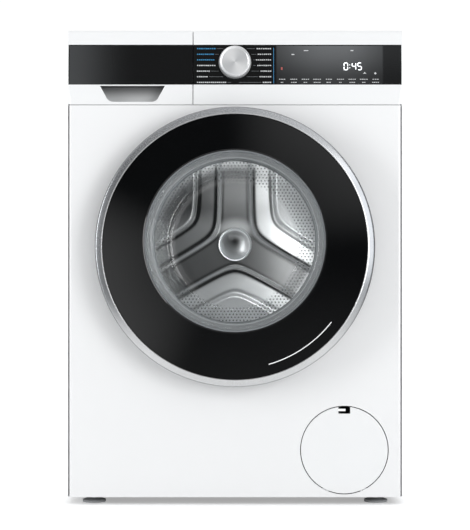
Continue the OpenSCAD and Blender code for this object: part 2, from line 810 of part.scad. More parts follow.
module drum_shell() {
    color("silver") difference() {
        union() {
            ring_y(drum_r, drum_r - 1, 0, drum_z, drum_y + 8, drum_back_y + 8);
            turned_y([[collar_r - 14, drum_y + 1], [collar_r - 11, drum_y], [drum_r - 10, drum_y],
                [drum_r, drum_y + 9], [drum_r - 1, drum_y + 9], [drum_r - 10.5, drum_y + 1],
                [collar_r - 11, drum_y + 1], [collar_r - 13, drum_y + 8], [collar_r - 14, drum_y + 8]], drum_z);
        }
        for (a = [0 : 30 : 330], k = [0 : 3])
            translate([0, drum_y + 60 + k * (drum_back_y - drum_y - 110) / 3, drum_z]) rotate([0, a + 15, 0])
                translate([drum_r - 5, 0, 0]) rotate([0, 90, 0]) cylinder(h = 10, r = 3.5);
    }
}

module drum_back() {
    color("silver") difference() {
        union() {
            rod_y(drum_r - 1.1, 0, drum_z, drum_back_y, drum_back_y + 1);
            translate([0, 0, drum_z]) for (a = [0 : 120 : 240]) rotate([0, a, 0])
                box([-24, drum_back_y - 4, 10], [24, drum_back_y + 0.5, drum_r - 40]);
            rod_y(60, 0, drum_z, drum_back_y - 4, drum_back_y);
            rod_y(28, 0, drum_z, drum_back_y - 9, drum_back_y);
        }
        rod_y(14, 0, drum_z, drum_back_y - 5, drum_back_y + 2);
    }
}

module drum_paddles() {
    len = drum_back_y - drum_y - 40;
    color("whitesmoke") translate([0, 0, drum_z]) for (a = [60 : 120 : 300]) rotate([0, a, 0]) intersection() {
        translate([0, drum_y + 20, 0]) rotate([-90, 0, 0]) linear_extrude(len)
            polygon([[-30, -drum_r], [-12, -drum_r + 42], [-6, -drum_r + 46], [6, -drum_r + 46],
                [12, -drum_r + 42], [30, -drum_r]]);
        rotate([-90, 0, 0]) cylinder(h = 1200, r = drum_r - 1.1, center = true);
    }
}

module drum_spider() {
    y1 = drum_back_y + 1.2;
    color("gray") union() {
        rod_y(shaft_r * 2.2, 0, drum_z, y1, tub_back - 6);
        rod_y(13.5, 0, drum_z, drum_back_y - 4, y1 + 1);
        for (a = [0 : 120 : 240]) translate([0, 0, drum_z]) rotate([0, a, 0]) union() {
            box([-16, y1, 12], [16, y1 + 8, drum_r - 4]);
            along_x([[y1, 12], [y1 + 30, 12], [y1 + 30, 50], [y1 + 12, drum_r - 8], [y1, drum_r - 8]],
                -4, 4);
        }
        rod_y(shaft_r, 0, drum_z, y1, tub_back + 26);
        rod_y(rear_shaft_r, 0, drum_z, y1, pulley_y + pulley_w - 4);
    }
}

module drum_pulley() {
    y1 = pulley_y;
    color("gainsboro") difference() {
        union() {
            ring_y(pulley_r, pulley_r - 6, 0, drum_z, y1, y1 + pulley_w);
            ring_y(34, rear_shaft_r, 0, drum_z, y1, y1 + pulley_w - 4);
            for (a = [0 : 60 : 300]) translate([0, 0, drum_z]) rotate([0, a, 0])
                box([28, y1 + 2, -9], [pulley_r - 4, y1 + 9, 9]);
        }
        rod_y(rear_shaft_r, 0, drum_z, y1 - 1, y1 + pulley_w);
    }
}

// the belt's outline: two circles joined by their outer tangents
module belt_outline(grow) {
    d = drum_z - motor_z;
    c = (pulley_r - motor_pulley_r) / d;
    s = sqrt(1 - c * c);
    big = pulley_r + grow;
    small = motor_pulley_r + grow;
    circle(big);
    translate([0, d]) circle(small);
    polygon([[-big * s, big * c], [big * s, big * c], [small * s, d + small * c],
        [-small * s, d + small * c]]);
}

module drive_belt() {
    color("black") translate([0, pulley_y + 2, drum_z]) rotate([-90, 0, 0])
        linear_extrude(pulley_w - 5) difference() {
            belt_outline(3.3);
            belt_outline(0.3);
        }
}

// ---- motor ----

module motor_body() {
    y1 = motor_y;
    y2 = motor_y + motor_len;
    color("gray") difference() {
        union() {
            rod_y(motor_r, 0, motor_z, y1, y2);
            rod_y(20, 0, motor_z, y1 - 12, y2 + 14);
            for (x = [-38, 38]) box([x - 8, y1 + 20, motor_z], [x + 8, y1 + 60, motor_z + motor_r + 4]);
        }
        rod_y(rotor_r + 2, 0, motor_z, y1 + 8, y2 - 8);
        rod_y(6.05, 0, motor_z, y1 - 20, y2 + 20);
        for (a = [15 : 30 : 345])
            rod_y(3, (motor_r - 7) * cos(a), motor_z + (motor_r - 7) * sin(a), y1 - 1, y2 + 1);
    }
}

module motor_rotor() {
    y1 = motor_y;
    y2 = motor_y + motor_len;
    color("silver") union() {
        rod_y(6, 0, motor_z, y1 - 10, pulley_y + pulley_w);
        rod_y(rotor_r, 0, motor_z, y1 + 12, y2 - 12);
        rod_y(motor_pulley_r, 0, motor_z, pulley_y - 1, pulley_y + pulley_w);
        rod_y(motor_pulley_r + 3, 0, motor_z, pulley_y - 3, pulley_y - 1);
    }
}

// ---- dryer ----

module dryer_duct() {
    z1 = fan_z;
    z2 = fan_z + 46;
    color("lightgray") difference() {
        union() {
            translate([fan_x, fan_y, z1]) cylinder(h = z2 - z1, r = fan_r + 5);
            box([fan_x - 50, yf + 96, z1], [fan_x + 20, fan_y, z2]);
            difference() {
                for (x = [fan_x - 46, fan_x + 16], y = [yf + 110, fan_y + 20])
                    translate([x, y, drum_z + 100]) cylinder(h = fan_z - drum_z - 99, r = 7);
                rod_y(tub_r + 5.2, 0, drum_z, yf, yr);
            }
            translate([fan_x, fan_y, z2]) cylinder(h = 14, r = 24);
        }
        translate([fan_x, fan_y, z1 + 3]) cylinder(h = z2 - z1 - 6, r = fan_r + 2);
        box([fan_x - 47, yf + 99, z1 + 3], [fan_x + 17, fan_y, z2 - 3]);
        box([fan_x - 40, yf + 102, z1 - 1], [fan_x + 10, yf + 130, z1 + 4]);
        translate([fan_x, fan_y, z1 - 1]) cylinder(h = 6, r = 30);
        translate([fan_x, fan_y, z1]) cylinder(h = 58.5, r = 3.05);
    }
}

module dryer_fan() {
    z1 = fan_z + 7;
    color("dimgray") translate([fan_x, fan_y, 0]) union() {
        translate([0, 0, z1 + 29]) cylinder(h = 3, r = fan_r - 2);
        for (a = [0 : 30 : 330]) rotate([0, 0, a]) box([24, -1, z1], [fan_r - 2, 1, z1 + 30]);
        translate([0, 0, z1]) difference() {
            cylinder(h = 2, r = fan_r - 2);
            translate([0, 0, -1]) cylinder(h = 4, r = 32);
        }
        translate([0, 0, z1 + 29]) cylinder(h = 22, r = 3);
    }
}

// ---- water ----

module drain_pump() {
    color("white") difference() {
        union() {
            rod_y(36, flap_x, flap_z, pump_y1, pump_y2);
            rod_y(44, flap_x, flap_z, pump_y1, pump_y1 + 5);
            rod_y(30, flap_x, flap_z, pump_y2, pump_y2 + 52);
            translate([flap_x - 60, drain_y, flap_z]) rotate([0, 90, 0]) cylinder(h = 40, r = 17);
            translate([flap_x + 20, pump_y2 - 14, flap_z]) rotate([0, 90, 0]) cylinder(h = 34, r = spigot_r);
            for (y = [pump_y1 + 30, pump_y2 - 20])
                box([flap_x - 16, y, floor_z + 3.1], [flap_x + 16, y + 8, flap_z - 20]);
        }
        rod_y(33, flap_x, flap_z, pump_y1 - 1, pump_y2 - 3);
        translate([flap_x - 70, drain_y, flap_z]) rotate([0, 90, 0]) cylinder(h = 60, r = 13.5);
        translate([flap_x + 20, pump_y2 - 14, flap_z]) rotate([0, 90, 0]) cylinder(h = 40, r = spigot_r - 2);
    }
}

module pump_filter() {
    y1 = pump_y1 - 3;
    color("black") difference() {
        union() {
            rod_y(32.9, flap_x, flap_z, y1 + 3, y1 + 18);
            rod_y(40, flap_x, flap_z, y1 - 2, y1 + 2.6);
            box([flap_x - 5, y1 - 15, flap_z - 30], [flap_x + 5, y1 + 1, flap_z + 30]);
            ring_y(26, 23, flap_x, flap_z, y1 + 10, pump_y2 - 20);
            rod_y(26, flap_x, flap_z, pump_y2 - 24, pump_y2 - 20);
            rod_y(8, flap_x, flap_z, y1, y1 + 10);
        }
        for (a = [0 : 45 : 315]) translate([flap_x, 0, flap_z]) rotate([0, a, 0])
            box([20, y1 + 26, -5], [30, pump_y2 - 32, 5]);
    }
}

module sump_hose() {
    color("black") hose([[60, drain_y, sump_z - 2], [60, drain_y, flap_z],
        [flap_x - 44, drain_y, flap_z]], 22, 18.2);
}

// a short bellows over the dispenser's outlet and the tub's inlet
module fill_hose() {
    low = box_low - 58;
    high = box_low - 18;
    folds = 5;
    pitch = 2.8;
    start = (low + high) / 2 - folds * pitch / 2;
    color("black") translate([fill_x, fill_y, 0]) difference() {
        union() {
            translate([0, 0, low]) cylinder(h = high - low, r = 18.6);
            for (k = [0 : folds - 1]) translate([0, 0, start + k * pitch]) union() {
                cylinder(h = pitch / 2, r1 = 18.6, r2 = 21);
                translate([0, 0, pitch / 2]) cylinder(h = pitch / 2, r1 = 21, r2 = 18.6);
            }
        }
        translate([0, 0, low - 1]) cylinder(h = high - low + 2, r = 16.1);
    }
}

module valve_hose() {
    x = box_x2 - 30;
    y2 = yf + fascia_d + 2 + box_d + 20 + 18.2;
    z = inlet_z;
    color("black") hose([[x, y2, z], [x, back_y - 70, z], [inlet_x, back_y - 70, z],
        [inlet_x, back_y - 47, z]], 9, 7);
}

module drain_hose() {
    color("black") difference() {
        union() {
            hose([[flap_x + 50, pump_y2 - 14, flap_z], [hose_x, pump_y2 - 14, flap_z],
                [hose_x, back_y - 20, flap_z]], spigot_r + 2.5, spigot_r - 2);
            ring_y(spigot_r, spigot_r - 2, hose_x, flap_z, back_y - 21, yr);
            ring_y(spigot_r + 5, spigot_r - 2, hose_x, flap_z, back_y, back_y + 2);
        }
        translate([flap_x + 40, pump_y2 - 14, flap_z]) rotate([0, 90, 0])
            cylinder(h = 14.2, r = spigot_r + 0.1);
    }
}

module inlet_valve() {
    color("white") difference() {
        union() {
            rod_y(inlet_r, inlet_x, inlet_z, back_y - 20, yr);
            rod_y(inlet_r + 7, inlet_x, inlet_z, back_y + 0, back_y + 2);
            box([inlet_x - 20, back_y - 46, inlet_z - 22], [inlet_x + 20, back_y - 18, inlet_z + 18]);
            rod_y(6.95, inlet_x, inlet_z, back_y - 53, back_y - 44);
        }
        rod_y(9, inlet_x, inlet_z, back_y - 10, yr + 1);
        rod_y(4, inlet_x, inlet_z, back_y - 60, back_y);
    }
}

module mains_gland() {
    color("black") difference() {
        union() {
            rod_y(11.8, gland_x, inlet_z, back_y - 24, back_y + 1);
            rod_y(16, gland_x, inlet_z, back_y, back_y + 6);
            rod_y(8, gland_x, inlet_z, back_y + 5, yr);
            box([gland_x - 30, back_y - 60, inlet_z - 20], [gland_x + 30, back_y - 22, inlet_z + 20]);
        }
        rod_y(3.6, gland_x, inlet_z, back_y - 18, yr + 1);
    }
}

module service_flap() {
    color("white") union() {
        difference() {
            rod_y(flap_r, flap_x, flap_z, yf, yf + 2.5);
            box([flap_x - 10.5, yf - 1, flap_z + flap_r - 12.5], [flap_x + 10.5, yf + 4, flap_z + flap_r + 1]);
        }
        for (s = [-1, 1]) {
            box([flap_x + s * 29 - 3, yf + 2, flap_pin_z - 3],
                [flap_x + s * 29 + 3, flap_pin_y + 3, flap_pin_z + 3]);
            translate([flap_x + s * 39.5, flap_pin_y, flap_pin_z]) rotate([0, 90, 0])
                cylinder(h = 20, r = flap_pin_r, center = true);
        }
        intersection() {
            ring_y(flap_r - 3, flap_r - 5, flap_x, flap_z, yf + 2, yf + 5);
            box([flap_x - 80, yf, flap_pin_z + 14], [flap_x + 80, yf + 8, flap_z + flap_r - 14]);
        }
    }
}

side_panel_left();
side_panel_right();
rear_panel();
rear_cover();
front_panel();
base_tray();
worktop();
levelling_feet();
foot_lock_nuts();
cover_screws();
control_panel();
panel_glass();
control_board();
selector_encoder();
selector_knob();
drawer_front();
drawer_glass();
drawer_box();
siphon_cap();
dispenser_housing();
door_ring();
door_glass_ring();
door_frame();
door_bowl();
door_hinge();
hinge_pin();
hinge_bracket();
door_hook();
door_lock();
door_gasket();
gasket_clamp();
tub_front();
tub_rear();
drum_bearings();
shaft_seal();
heater_element();
counterweight_top();
counterweight_front();
damper_rods();
damper_cylinders();
suspension_springs();
drum_shell();
drum_back();
drum_paddles();
drum_spider();
drum_pulley();
drive_belt();
motor_body();
motor_rotor();
dryer_duct();
dryer_fan();
drain_pump();
pump_filter();
sump_hose();
fill_hose();
valve_hose();
drain_hose();
inlet_valve();
mains_gland();
service_flap();
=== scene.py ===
"""Looks for the front load washer-dryer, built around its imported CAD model.

Metres, in the CAD model's own frame: X to the right, Y to the back, Z up, origin on the floor.
"""

import json
import math

import bmesh
import bpy
from mathutils import Matrix, Vector


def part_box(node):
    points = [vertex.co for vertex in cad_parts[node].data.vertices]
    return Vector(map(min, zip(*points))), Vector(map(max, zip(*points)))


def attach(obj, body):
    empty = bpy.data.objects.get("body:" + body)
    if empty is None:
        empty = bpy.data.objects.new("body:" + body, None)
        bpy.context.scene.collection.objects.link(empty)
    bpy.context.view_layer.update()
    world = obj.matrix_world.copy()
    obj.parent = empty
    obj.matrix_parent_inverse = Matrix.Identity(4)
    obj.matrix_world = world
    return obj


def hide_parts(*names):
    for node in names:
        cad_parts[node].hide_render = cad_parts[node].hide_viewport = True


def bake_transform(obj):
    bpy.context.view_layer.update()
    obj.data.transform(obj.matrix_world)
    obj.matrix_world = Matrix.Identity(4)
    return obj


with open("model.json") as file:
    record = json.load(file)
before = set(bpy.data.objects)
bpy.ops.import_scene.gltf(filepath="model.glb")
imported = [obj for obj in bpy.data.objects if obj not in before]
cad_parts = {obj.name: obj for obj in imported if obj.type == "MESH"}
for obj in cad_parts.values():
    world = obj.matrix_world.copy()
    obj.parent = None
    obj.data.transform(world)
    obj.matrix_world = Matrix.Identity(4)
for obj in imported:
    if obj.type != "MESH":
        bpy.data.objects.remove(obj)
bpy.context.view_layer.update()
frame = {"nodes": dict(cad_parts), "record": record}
MM = 0.001


# ---- places and sizes, taken from the frame ----

def span(node):
    """A CAD node's low and high corners."""
    low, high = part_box(node)
    return Vector(low), Vector(high)


def joint(name):
    """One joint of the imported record."""
    return next(j for j in frame["record"]["behaviour"]["joints"] if j["name"] == name)


ring_low, ring_high = span("door_ring")
bowl_low, bowl_high = span("door_bowl")
drum_low, drum_high = span("drum_shell")
back_low = span("drum_back")[0]
panel_low = span("panel_glass")[0]
tray_low = span("drawer_glass")[0]
face_y = span("front_panel")[0].y
door_z = (ring_low.z + ring_high.z) / 2
door_r = (ring_high.x - ring_low.x) / 2
door_y = ring_low.y
drum_z = (bowl_low.z + bowl_high.z) / 2
window_r = (bowl_high.x - bowl_low.x) / 2 + 2.3 * MM
glazing_r = (span("door_glass_ring")[1].x - span("door_glass_ring")[0].x) / 2
drum_r = (drum_high.x - drum_low.x) / 2
knob_axis = Vector(joint("selector_turn")["axis"])
knob_at = Vector(joint("selector_turn")["pos_m"])
lean = math.atan2(knob_axis.z, -knob_axis.y)
fascia_z = span("control_panel")[0].z
seam_x = (span("drawer_front")[1].x + span("control_panel")[0].x) / 2
grip_x = (span("drawer_front")[0].x + seam_x) / 2 + 4 * MM
knob_r = (span("selector_knob")[1].x - span("selector_knob")[0].x) / 2
knob_h = (knob_at.z - fascia_z) / math.cos(lean)
strip_low = (panel_low.z - fascia_z) / math.cos(lean)


def on_fascia(x, depth, height):
    """A place given along the leaning fascia: across, behind its face, and up it."""
    y = face_y + depth * math.cos(lean) + height * math.sin(lean)
    z = fascia_z - depth * math.sin(lean) + height * math.cos(lean)
    return Vector((x, y, z))


def fascia_frame(x, depth, height):
    """The matrix that stands a shape made in X and Z against the fascia there."""
    return Matrix.Translation(on_fascia(x, depth, height)) @ Matrix.Rotation(-lean, 4, "X")


# ---- materials ----

def linear(colour):
    """A linear RGBA from an sRGB hex colour."""
    parts = [int(colour[i:i + 2], 16) / 255 for i in (1, 3, 5)]
    return [c / 12.92 if c <= 0.04045 else ((c + 0.055) / 1.055) ** 2.4 for c in parts] + [1.0]


def add(tree, kind, inputs=None, **settings):
    """Adds a node with its settings, and its inputs as values or links."""
    made = tree.nodes.new("ShaderNode" + kind)
    for key, value in settings.items():
        setattr(made, key, value)
    for key, value in (inputs or {}).items():
        if isinstance(value, bpy.types.NodeSocket):
            tree.links.new(value, made.inputs[key])
        else:
            made.inputs[key].default_value = value
    return made


def new_material(name):
    """An empty node material and its tree."""
    made = bpy.data.materials.new(name)
    made.use_nodes = True
    made.node_tree.nodes.clear()
    return made, made.node_tree


def ends(tree, shader):
    """Joins the shader to the material's output."""
    add(tree, "OutputMaterial", {"Surface": shader.outputs[0]})


def place(tree):
    """The Object coordinates socket."""
    return add(tree, "TexCoord").outputs["Object"]


def maths(tree, operation, a, b=0.0, c=0.0):
    """One step of arithmetic."""
    return add(tree, "Math", {0: a, 1: b, 2: c}, operation=operation).outputs[0]


def grain(tree, size_mm, detail=3.0, stretch=(1, 1, 1)):
    """Noise with features of about that size, as a 0 to 1 socket."""
    scaled = add(tree, "VectorMath", {0: place(tree), 1: [s * 1000 / size_mm for s in stretch]},
                 operation="MULTIPLY")
    return add(tree, "TexNoise", {"Vector": scaled.outputs[0], "Scale": 1.0, "Detail": detail}).outputs["Fac"]


def between(tree, factor, low, high):
    """A value that goes from low to high as the factor goes from 0 to 1."""
    return add(tree, "MapRange", {"Value": factor, "To Min": low, "To Max": high}).outputs[0]


def shades(tree, factor, first, second):
    """A colour between two, each given as a hex colour or a socket."""
    first, second = (linear(c) if isinstance(c, str) else c for c in (first, second))
    mixed = add(tree, "Mix", {"Factor": factor, "A": first, "B": second}, data_type="RGBA")
    return mixed.outputs["Result"]


def off_axis(tree, across, up):
    """How far a place is from an axis, from its two offsets."""
    squares = maths(tree, "ADD", maths(tree, "MULTIPLY", across, across), maths(tree, "MULTIPLY", up, up))
    return maths(tree, "SQRT", squares)


def bumped(tree, height, depth_mm):
    """A normal from a 0 to 1 height that is that deep."""
    return add(tree, "Bump", {"Height": height, "Strength": 1.0, "Distance": depth_mm * MM}).outputs[0]


# name: two close colours, size of the mottling and of the grain in mm, grain depth in mm,
# lowest and highest roughness, metallic, IOR
FINISHES = {
    # powder coated steel: white, semi-gloss, with a very fine orange peel
    "white_enamel": ("#F0F1F2", "#EEEFF0", 180, 1.6, 0.006, 0.33, 0.36, 0.0, 1.5),
    # laminated chipboard: white with a faint pearl grain, almost matte
    "worktop_laminate": ("#EDEEEF", "#E5E7E9", 4, 0.9, 0.02, 0.42, 0.55, 0.0, 1.5),
    # zinc plated sheet: dull grey with cloudy spangle
    "zinc_steel": ("#B4B8BC", "#9DA2A7", 14, 3, 0.01, 0.38, 0.55, 1.0, 1.5),
    # glass filled polypropylene, dark: matte with a fine moulded grain
    "base_plastic": ("#2E3033", "#26282A", 30, 0.8, 0.03, 0.50, 0.62, 0.0, 1.49),
    # moulded rubber pads of the feet: pale grey and dull
    "foot_rubber": ("#B4B6B8", "#A6A8AA", 12, 0.7, 0.03, 0.72, 0.85, 0.0, 1.52),
    # injection moulded ABS: white, glossier than the enamel, smooth
    "white_plastic": ("#F0F1F2", "#EEF0F1", 120, 1.1, 0.003, 0.27, 0.29, 0.0, 1.53),
    # fibreglass circuit board with green solder resist
    "circuit_board": ("#1F5B3B", "#173F2A", 6, 1.5, 0.02, 0.34, 0.5, 0.0, 1.55),
    # injection moulded polypropylene: pale grey, satin
    "drawer_plastic": ("#DDE0E2", "#D3D7DA", 40, 1.0, 0.015, 0.34, 0.44, 0.0, 1.49),
    # the same plastic dyed blue for the softener's siphon
    "siphon_plastic": ("#4B87BE", "#4079AE", 25, 1.0, 0.012, 0.32, 0.42, 0.0, 1.49),
    # moulded ABS of the door's inner frame: mid grey, satin
    "frame_plastic": ("#8D9195", "#83878B", 40, 0.9, 0.02, 0.36, 0.46, 0.0, 1.53),
    # die-cast zinc: soft grey with a slightly uneven skin
    "cast_zinc": ("#ACB0B4", "#979B9F", 9, 1.8, 0.05, 0.36, 0.52, 1.0, 1.5),
    # bright ground steel of pins, rods and the clamp wire
    "steel_bright": ("#C9CDD1", "#B9BDC1", 8, 0.5, 0.006, 0.18, 0.30, 1.0, 1.5),
    # fibre filled polypropylene of the tub: grey, faintly streaky
    "tub_plastic": ("#C4C8CA", "#B2B6B9", 26, 1.4, 0.05, 0.46, 0.58, 0.0, 1.49),
    # vulcanised rubber of belt, hoses and seals: black, dull
    "belt_rubber": ("#1A1A1B", "#121213", 14, 0.8, 0.03, 0.55, 0.7, 0.0, 1.52),
    # incoloy sheath of the heater, dulled by heat
    "heater_steel": ("#77797B", "#5C5E60", 10, 0.8, 0.02, 0.34, 0.5, 1.0, 1.5),
    # cast concrete of the weights: grey with air holes
    "concrete": ("#8F908E", "#767774", 7, 3.0, 0.5, 0.82, 0.95, 0.0, 1.5),
    # zinc plated spring wire
    "spring_steel": ("#969A9E", "#83878B", 6, 0.6, 0.01, 0.28, 0.4, 1.0, 1.5),
    # injection moulded polypropylene of the paddles
    "paddle_plastic": ("#D7DADC", "#CBCFD2", 30, 1.0, 0.015, 0.34, 0.44, 0.0, 1.49),
    # die-cast aluminium of spider, pulley and duct
    "spider_aluminium": ("#ABAEB2", "#979A9E", 8, 1.6, 0.06, 0.38, 0.54, 1.0, 1.5),
    # painted motor laminations
    "motor_steel": ("#6C7074", "#5C6064", 10, 0.9, 0.04, 0.40, 0.55, 0.0, 1.5),
    # EPDM rubber of the gasket: mid grey, smooth and slightly waxy
    "gasket_rubber": ("#74787B", "#6A6E71", 30, 1.0, 0.02, 0.42, 0.55, 0.0, 1.52),
}


def rise(tree, value, low, high, first=0.0, last=1.0):
    """A smooth step of the value, from first at low to last at high."""
    limits = {"Value": value, "From Min": low, "From Max": high, "To Min": first, "To Max": last}
    return add(tree, "MapRange", limits, interpolation_type="SMOOTHSTEP").outputs[0]


def seam_shadow(tree):
    """1 in the two joints round the fascia, where shadow gathers, and 0 elsewhere."""
    at = add(tree, "SeparateXYZ", {0: place(tree)})
    inside = maths(tree, "LESS_THAN", maths(tree, "ABSOLUTE", at.outputs["X"]), 0.2974)
    deep = maths(tree, "GREATER_THAN", at.outputs["Y"], face_y + 1.2 * MM)
    off_level = maths(tree, "ABSOLUTE", maths(tree, "SUBTRACT", at.outputs["Z"], fascia_z - 0.5 * MM))
    joint_z = maths(tree, "MULTIPLY", maths(tree, "LESS_THAN", off_level, 1.4 * MM), deep)
    off_seam = maths(tree, "ABSOLUTE", maths(tree, "SUBTRACT", at.outputs["X"], seam_x))
    above = maths(tree, "GREATER_THAN", at.outputs["Z"], fascia_z - 1 * MM)
    joint_x = maths(tree, "MULTIPLY", maths(tree, "LESS_THAN", off_seam, 0.62 * MM), above)
    both = maths(tree, "MAXIMUM", joint_z, joint_x)
    return maths(tree, "MULTIPLY", both, inside)


def recess_painted_shade(tree):
    """Painted shade in the finger recess: darkest at its roof, and none outside it."""
    at = add(tree, "SeparateXYZ", {0: place(tree)})
    y = maths(tree, "SUBTRACT", at.outputs["Y"], face_y)
    z = maths(tree, "SUBTRACT", at.outputs["Z"], fascia_z)
    sine, cosine = math.sin(lean), math.cos(lean)
    up = maths(tree, "ADD", maths(tree, "MULTIPLY", y, sine), maths(tree, "MULTIPLY", z, cosine))
    back = maths(tree, "SUBTRACT", maths(tree, "MULTIPLY", y, cosine), maths(tree, "MULTIPLY", z, sine))
    across = maths(tree, "ABSOLUTE", maths(tree, "SUBTRACT", at.outputs["X"], grip_x))
    held = maths(tree, "LESS_THAN", across, 59.5 * MM)
    held = maths(tree, "MULTIPLY", held, rise(tree, back, 0.3 * MM, 5 * MM))
    held = maths(tree, "MULTIPLY", held, maths(tree, "LESS_THAN", back, 17.8 * MM))
    held = maths(tree, "MULTIPLY", held, maths(tree, "LESS_THAN", up, 34.2 * MM))
    roof = rise(tree, up, 33.6 * MM, 33.9 * MM)
    tone = maths(tree, "MAXIMUM", rise(tree, up, 4 * MM, 33.5 * MM, 0.30, 0.86), roof)
    return maths(tree, "MULTIPLY", held, tone)


def finish(name):
    """One of the plain finishes above as a node material."""
    first, second, mottle, fine, depth, low, high, metallic, ior = FINISHES[name]
    made, tree = new_material(name)
    skin = grain(tree, fine, 4.0)
    colour = shades(tree, grain(tree, mottle), first, second)
    if name == "white_plastic":
        # painted shade: the finger recess darkens towards its roof, where shade falls
        colour = shades(tree, recess_painted_shade(tree), colour, "#2C2D2F")
    if name in ("white_enamel", "white_plastic"):
        colour = shades(tree, seam_shadow(tree), colour, "#161718")
    shader = add(tree, "BsdfPrincipled", {
        "Base Color": colour,
        "Roughness": between(tree, grain(tree, fine * 6), low, high),
        "Normal": bumped(tree, skin, depth)})
    shader.inputs["Metallic"].default_value = metallic
    shader.inputs["IOR"].default_value = ior
    ends(tree, shader)
    return made


def printed_glazing(name):
    """Toughened glass printed black on its back: a deep black under a clean gloss."""
    made, tree = new_material(name)
    shader = add(tree, "BsdfPrincipled", {
        "Base Color": shades(tree, grain(tree, 120), "#060708", "#0A0B0C"),
        "Roughness": between(tree, grain(tree, 60), 0.03, 0.06),
        "Normal": bumped(tree, grain(tree, 90, 1.0), 0.004)})
    shader.inputs["IOR"].default_value = 1.5
    ends(tree, shader)
    return made


def smoked_glazing(name):
    """Smoked acrylic over the fascia: black, paler where the display lies behind it, with a painted
    reflection that pales its left end and a painted shadow line along its top edge and left end.
    """
    made, tree = new_material(name)
    at = add(tree, "SeparateXYZ", {0: place(tree)})
    x = at.outputs["X"]
    base = fascia_z + strip_low * math.cos(lean)
    up = rise(tree, at.outputs["Z"], base, base + 72 * MM)
    window = rise(tree, x, 262 * MM, 266 * MM, 1.0, 0.30)
    window = maths(tree, "MULTIPLY", rise(tree, x, 72 * MM, 76 * MM), window)
    bell = rise(tree, x, 190 * MM, 285 * MM, 1.0, 0.40)
    bell = maths(tree, "MULTIPLY", rise(tree, x, 40 * MM, 165 * MM, 0.30), bell)
    climb = maths(tree, "ADD", maths(tree, "MULTIPLY", up, 0.58), 0.20)
    display = maths(tree, "MULTIPLY", maths(tree, "MULTIPLY", window, bell), climb)
    # painted reflection: the strip's left end is paled
    left = maths(tree, "MULTIPLY", rise(tree, x, -150 * MM, -300 * MM), 0.55)
    left = maths(tree, "MULTIPLY", left, left)
    colour = shades(tree, maths(tree, "MAXIMUM", display, left), "#0A0B0C", "#747678")
    speck = shades(tree, grain(tree, 140), "#F4F5F6", "#FFFFFF")
    colour = add(tree, "Mix", {"Factor": 1.0, "A": colour, "B": speck},
                 data_type="RGBA", blend_type="MULTIPLY")
    # painted shadow: a black line along the top edge and at the left end, where a gap round the strip would
    # be in shade
    painted_gap_shadow = maths(tree, "MAXIMUM", maths(tree, "GREATER_THAN", at.outputs["Z"], base + 70.3 * MM),
                   maths(tree, "LESS_THAN", x, tray_low.x + 1.6 * MM))
    shader = add(tree, "BsdfPrincipled", {
        "Base Color": shades(tree, painted_gap_shadow, colour.outputs["Result"], "#010101"),
        "Roughness": between(tree, grain(tree, 60), 0.04, 0.08),
        "Normal": bumped(tree, grain(tree, 90, 1.0), 0.004)})
    shader.inputs["IOR"].default_value = 1.49
    ends(tree, shader)
    return made


def ring_painted_reflections(tree):
    """The plating's colour, with painted reflections in it: pale above and below, greyer at its sides, with a
    painted shadow as a dark line at its outer edge and a painted highlight as a bright lip.
    """
    at = add(tree, "SeparateXYZ", {0: place(tree)})
    z = maths(tree, "SUBTRACT", at.outputs["Z"], door_z)
    # painted reflections: greyer at the sides, pale below and above
    side = rise(tree, at.outputs["X"], -0.20, 0.20)
    plate = shades(tree, side, "#8A8C8F", "#6F7174")
    plate = shades(tree, rise(tree, z, -0.06, -0.20), plate, "#F2F3F4")
    plate = shades(tree, rise(tree, z, 0.10, 0.22), plate, "#C9CBCE")
    out = off_axis(tree, at.outputs["X"], z)
    # painted shadow: a dark line round the outer edge
    edge = rise(tree, out, door_r - 2.0 * MM, door_r - 0.8 * MM, 0.0, 0.85)
    # painted highlight: a bright line on the inner lip
    lip = rise(tree, out, glazing_r + 1.6 * MM, glazing_r + 3 * MM, 0.8, 0.0)
    plate = shades(tree, lip, shades(tree, edge, plate, "#1E1F21"), "#F8F9FA")
    return shades(tree, maths(tree, "MULTIPLY", grain(tree, 30), 0.2), plate, "#9DA0A4")


def silver_plating():
    """Satin chrome plated ABS of the door's ring: silver, with soft reflections, over a colour that carries
    painted reflections and shade.
    """
    made, tree = new_material("silver_plating")
    shader = add(tree, "BsdfPrincipled", {
        "Base Color": ring_painted_reflections(tree),
        "Roughness": between(tree, grain(tree, 1.2), 0.24, 0.30),
        "Normal": bumped(tree, grain(tree, 0.8, 2.0), 0.003)})
    shader.inputs["Metallic"].default_value = 1.0
    ends(tree, shader)
    return made


def spun_aluminium():
    """Turned and brushed aluminium of the knob's face, with painted highlights in fans that start from its
    middle.
    """
    made, tree = new_material("spun_aluminium")
    at = add(tree, "SeparateXYZ", {0: place(tree)})
    x = at.outputs["X"]
    z = maths(tree, "SUBTRACT", at.outputs["Z"], knob_at.z)
    turn = maths(tree, "ARCTAN2", z, x)
    out = off_axis(tree, x, z)
    # painted highlights: fans of brighter colour from the knob's middle
    painted_fan_highlights = maths(tree, "ABSOLUTE", maths(tree, "SINE", maths(tree, "ADD", turn, -0.62)))
    painted_fan_highlights = maths(tree, "POWER", painted_fan_highlights, 2.2)
    across = add(tree, "CombineXYZ", {"X": maths(tree, "MULTIPLY", out, 2600.0)})
    rings = add(tree, "TexNoise", {"Vector": across.outputs[0],
                                   "Scale": 1.0, "Detail": 2.0}).outputs["Fac"]
    shader = add(tree, "BsdfPrincipled", {
        "Base Color": shades(tree, painted_fan_highlights, "#D6D8DA", "#FAFBFC"),
        "Roughness": between(tree, rings, 0.26, 0.40),
        "Normal": bumped(tree, rings, 0.004)})
    shader.inputs["Metallic"].default_value = 0.6
    ends(tree, shader)
    return made


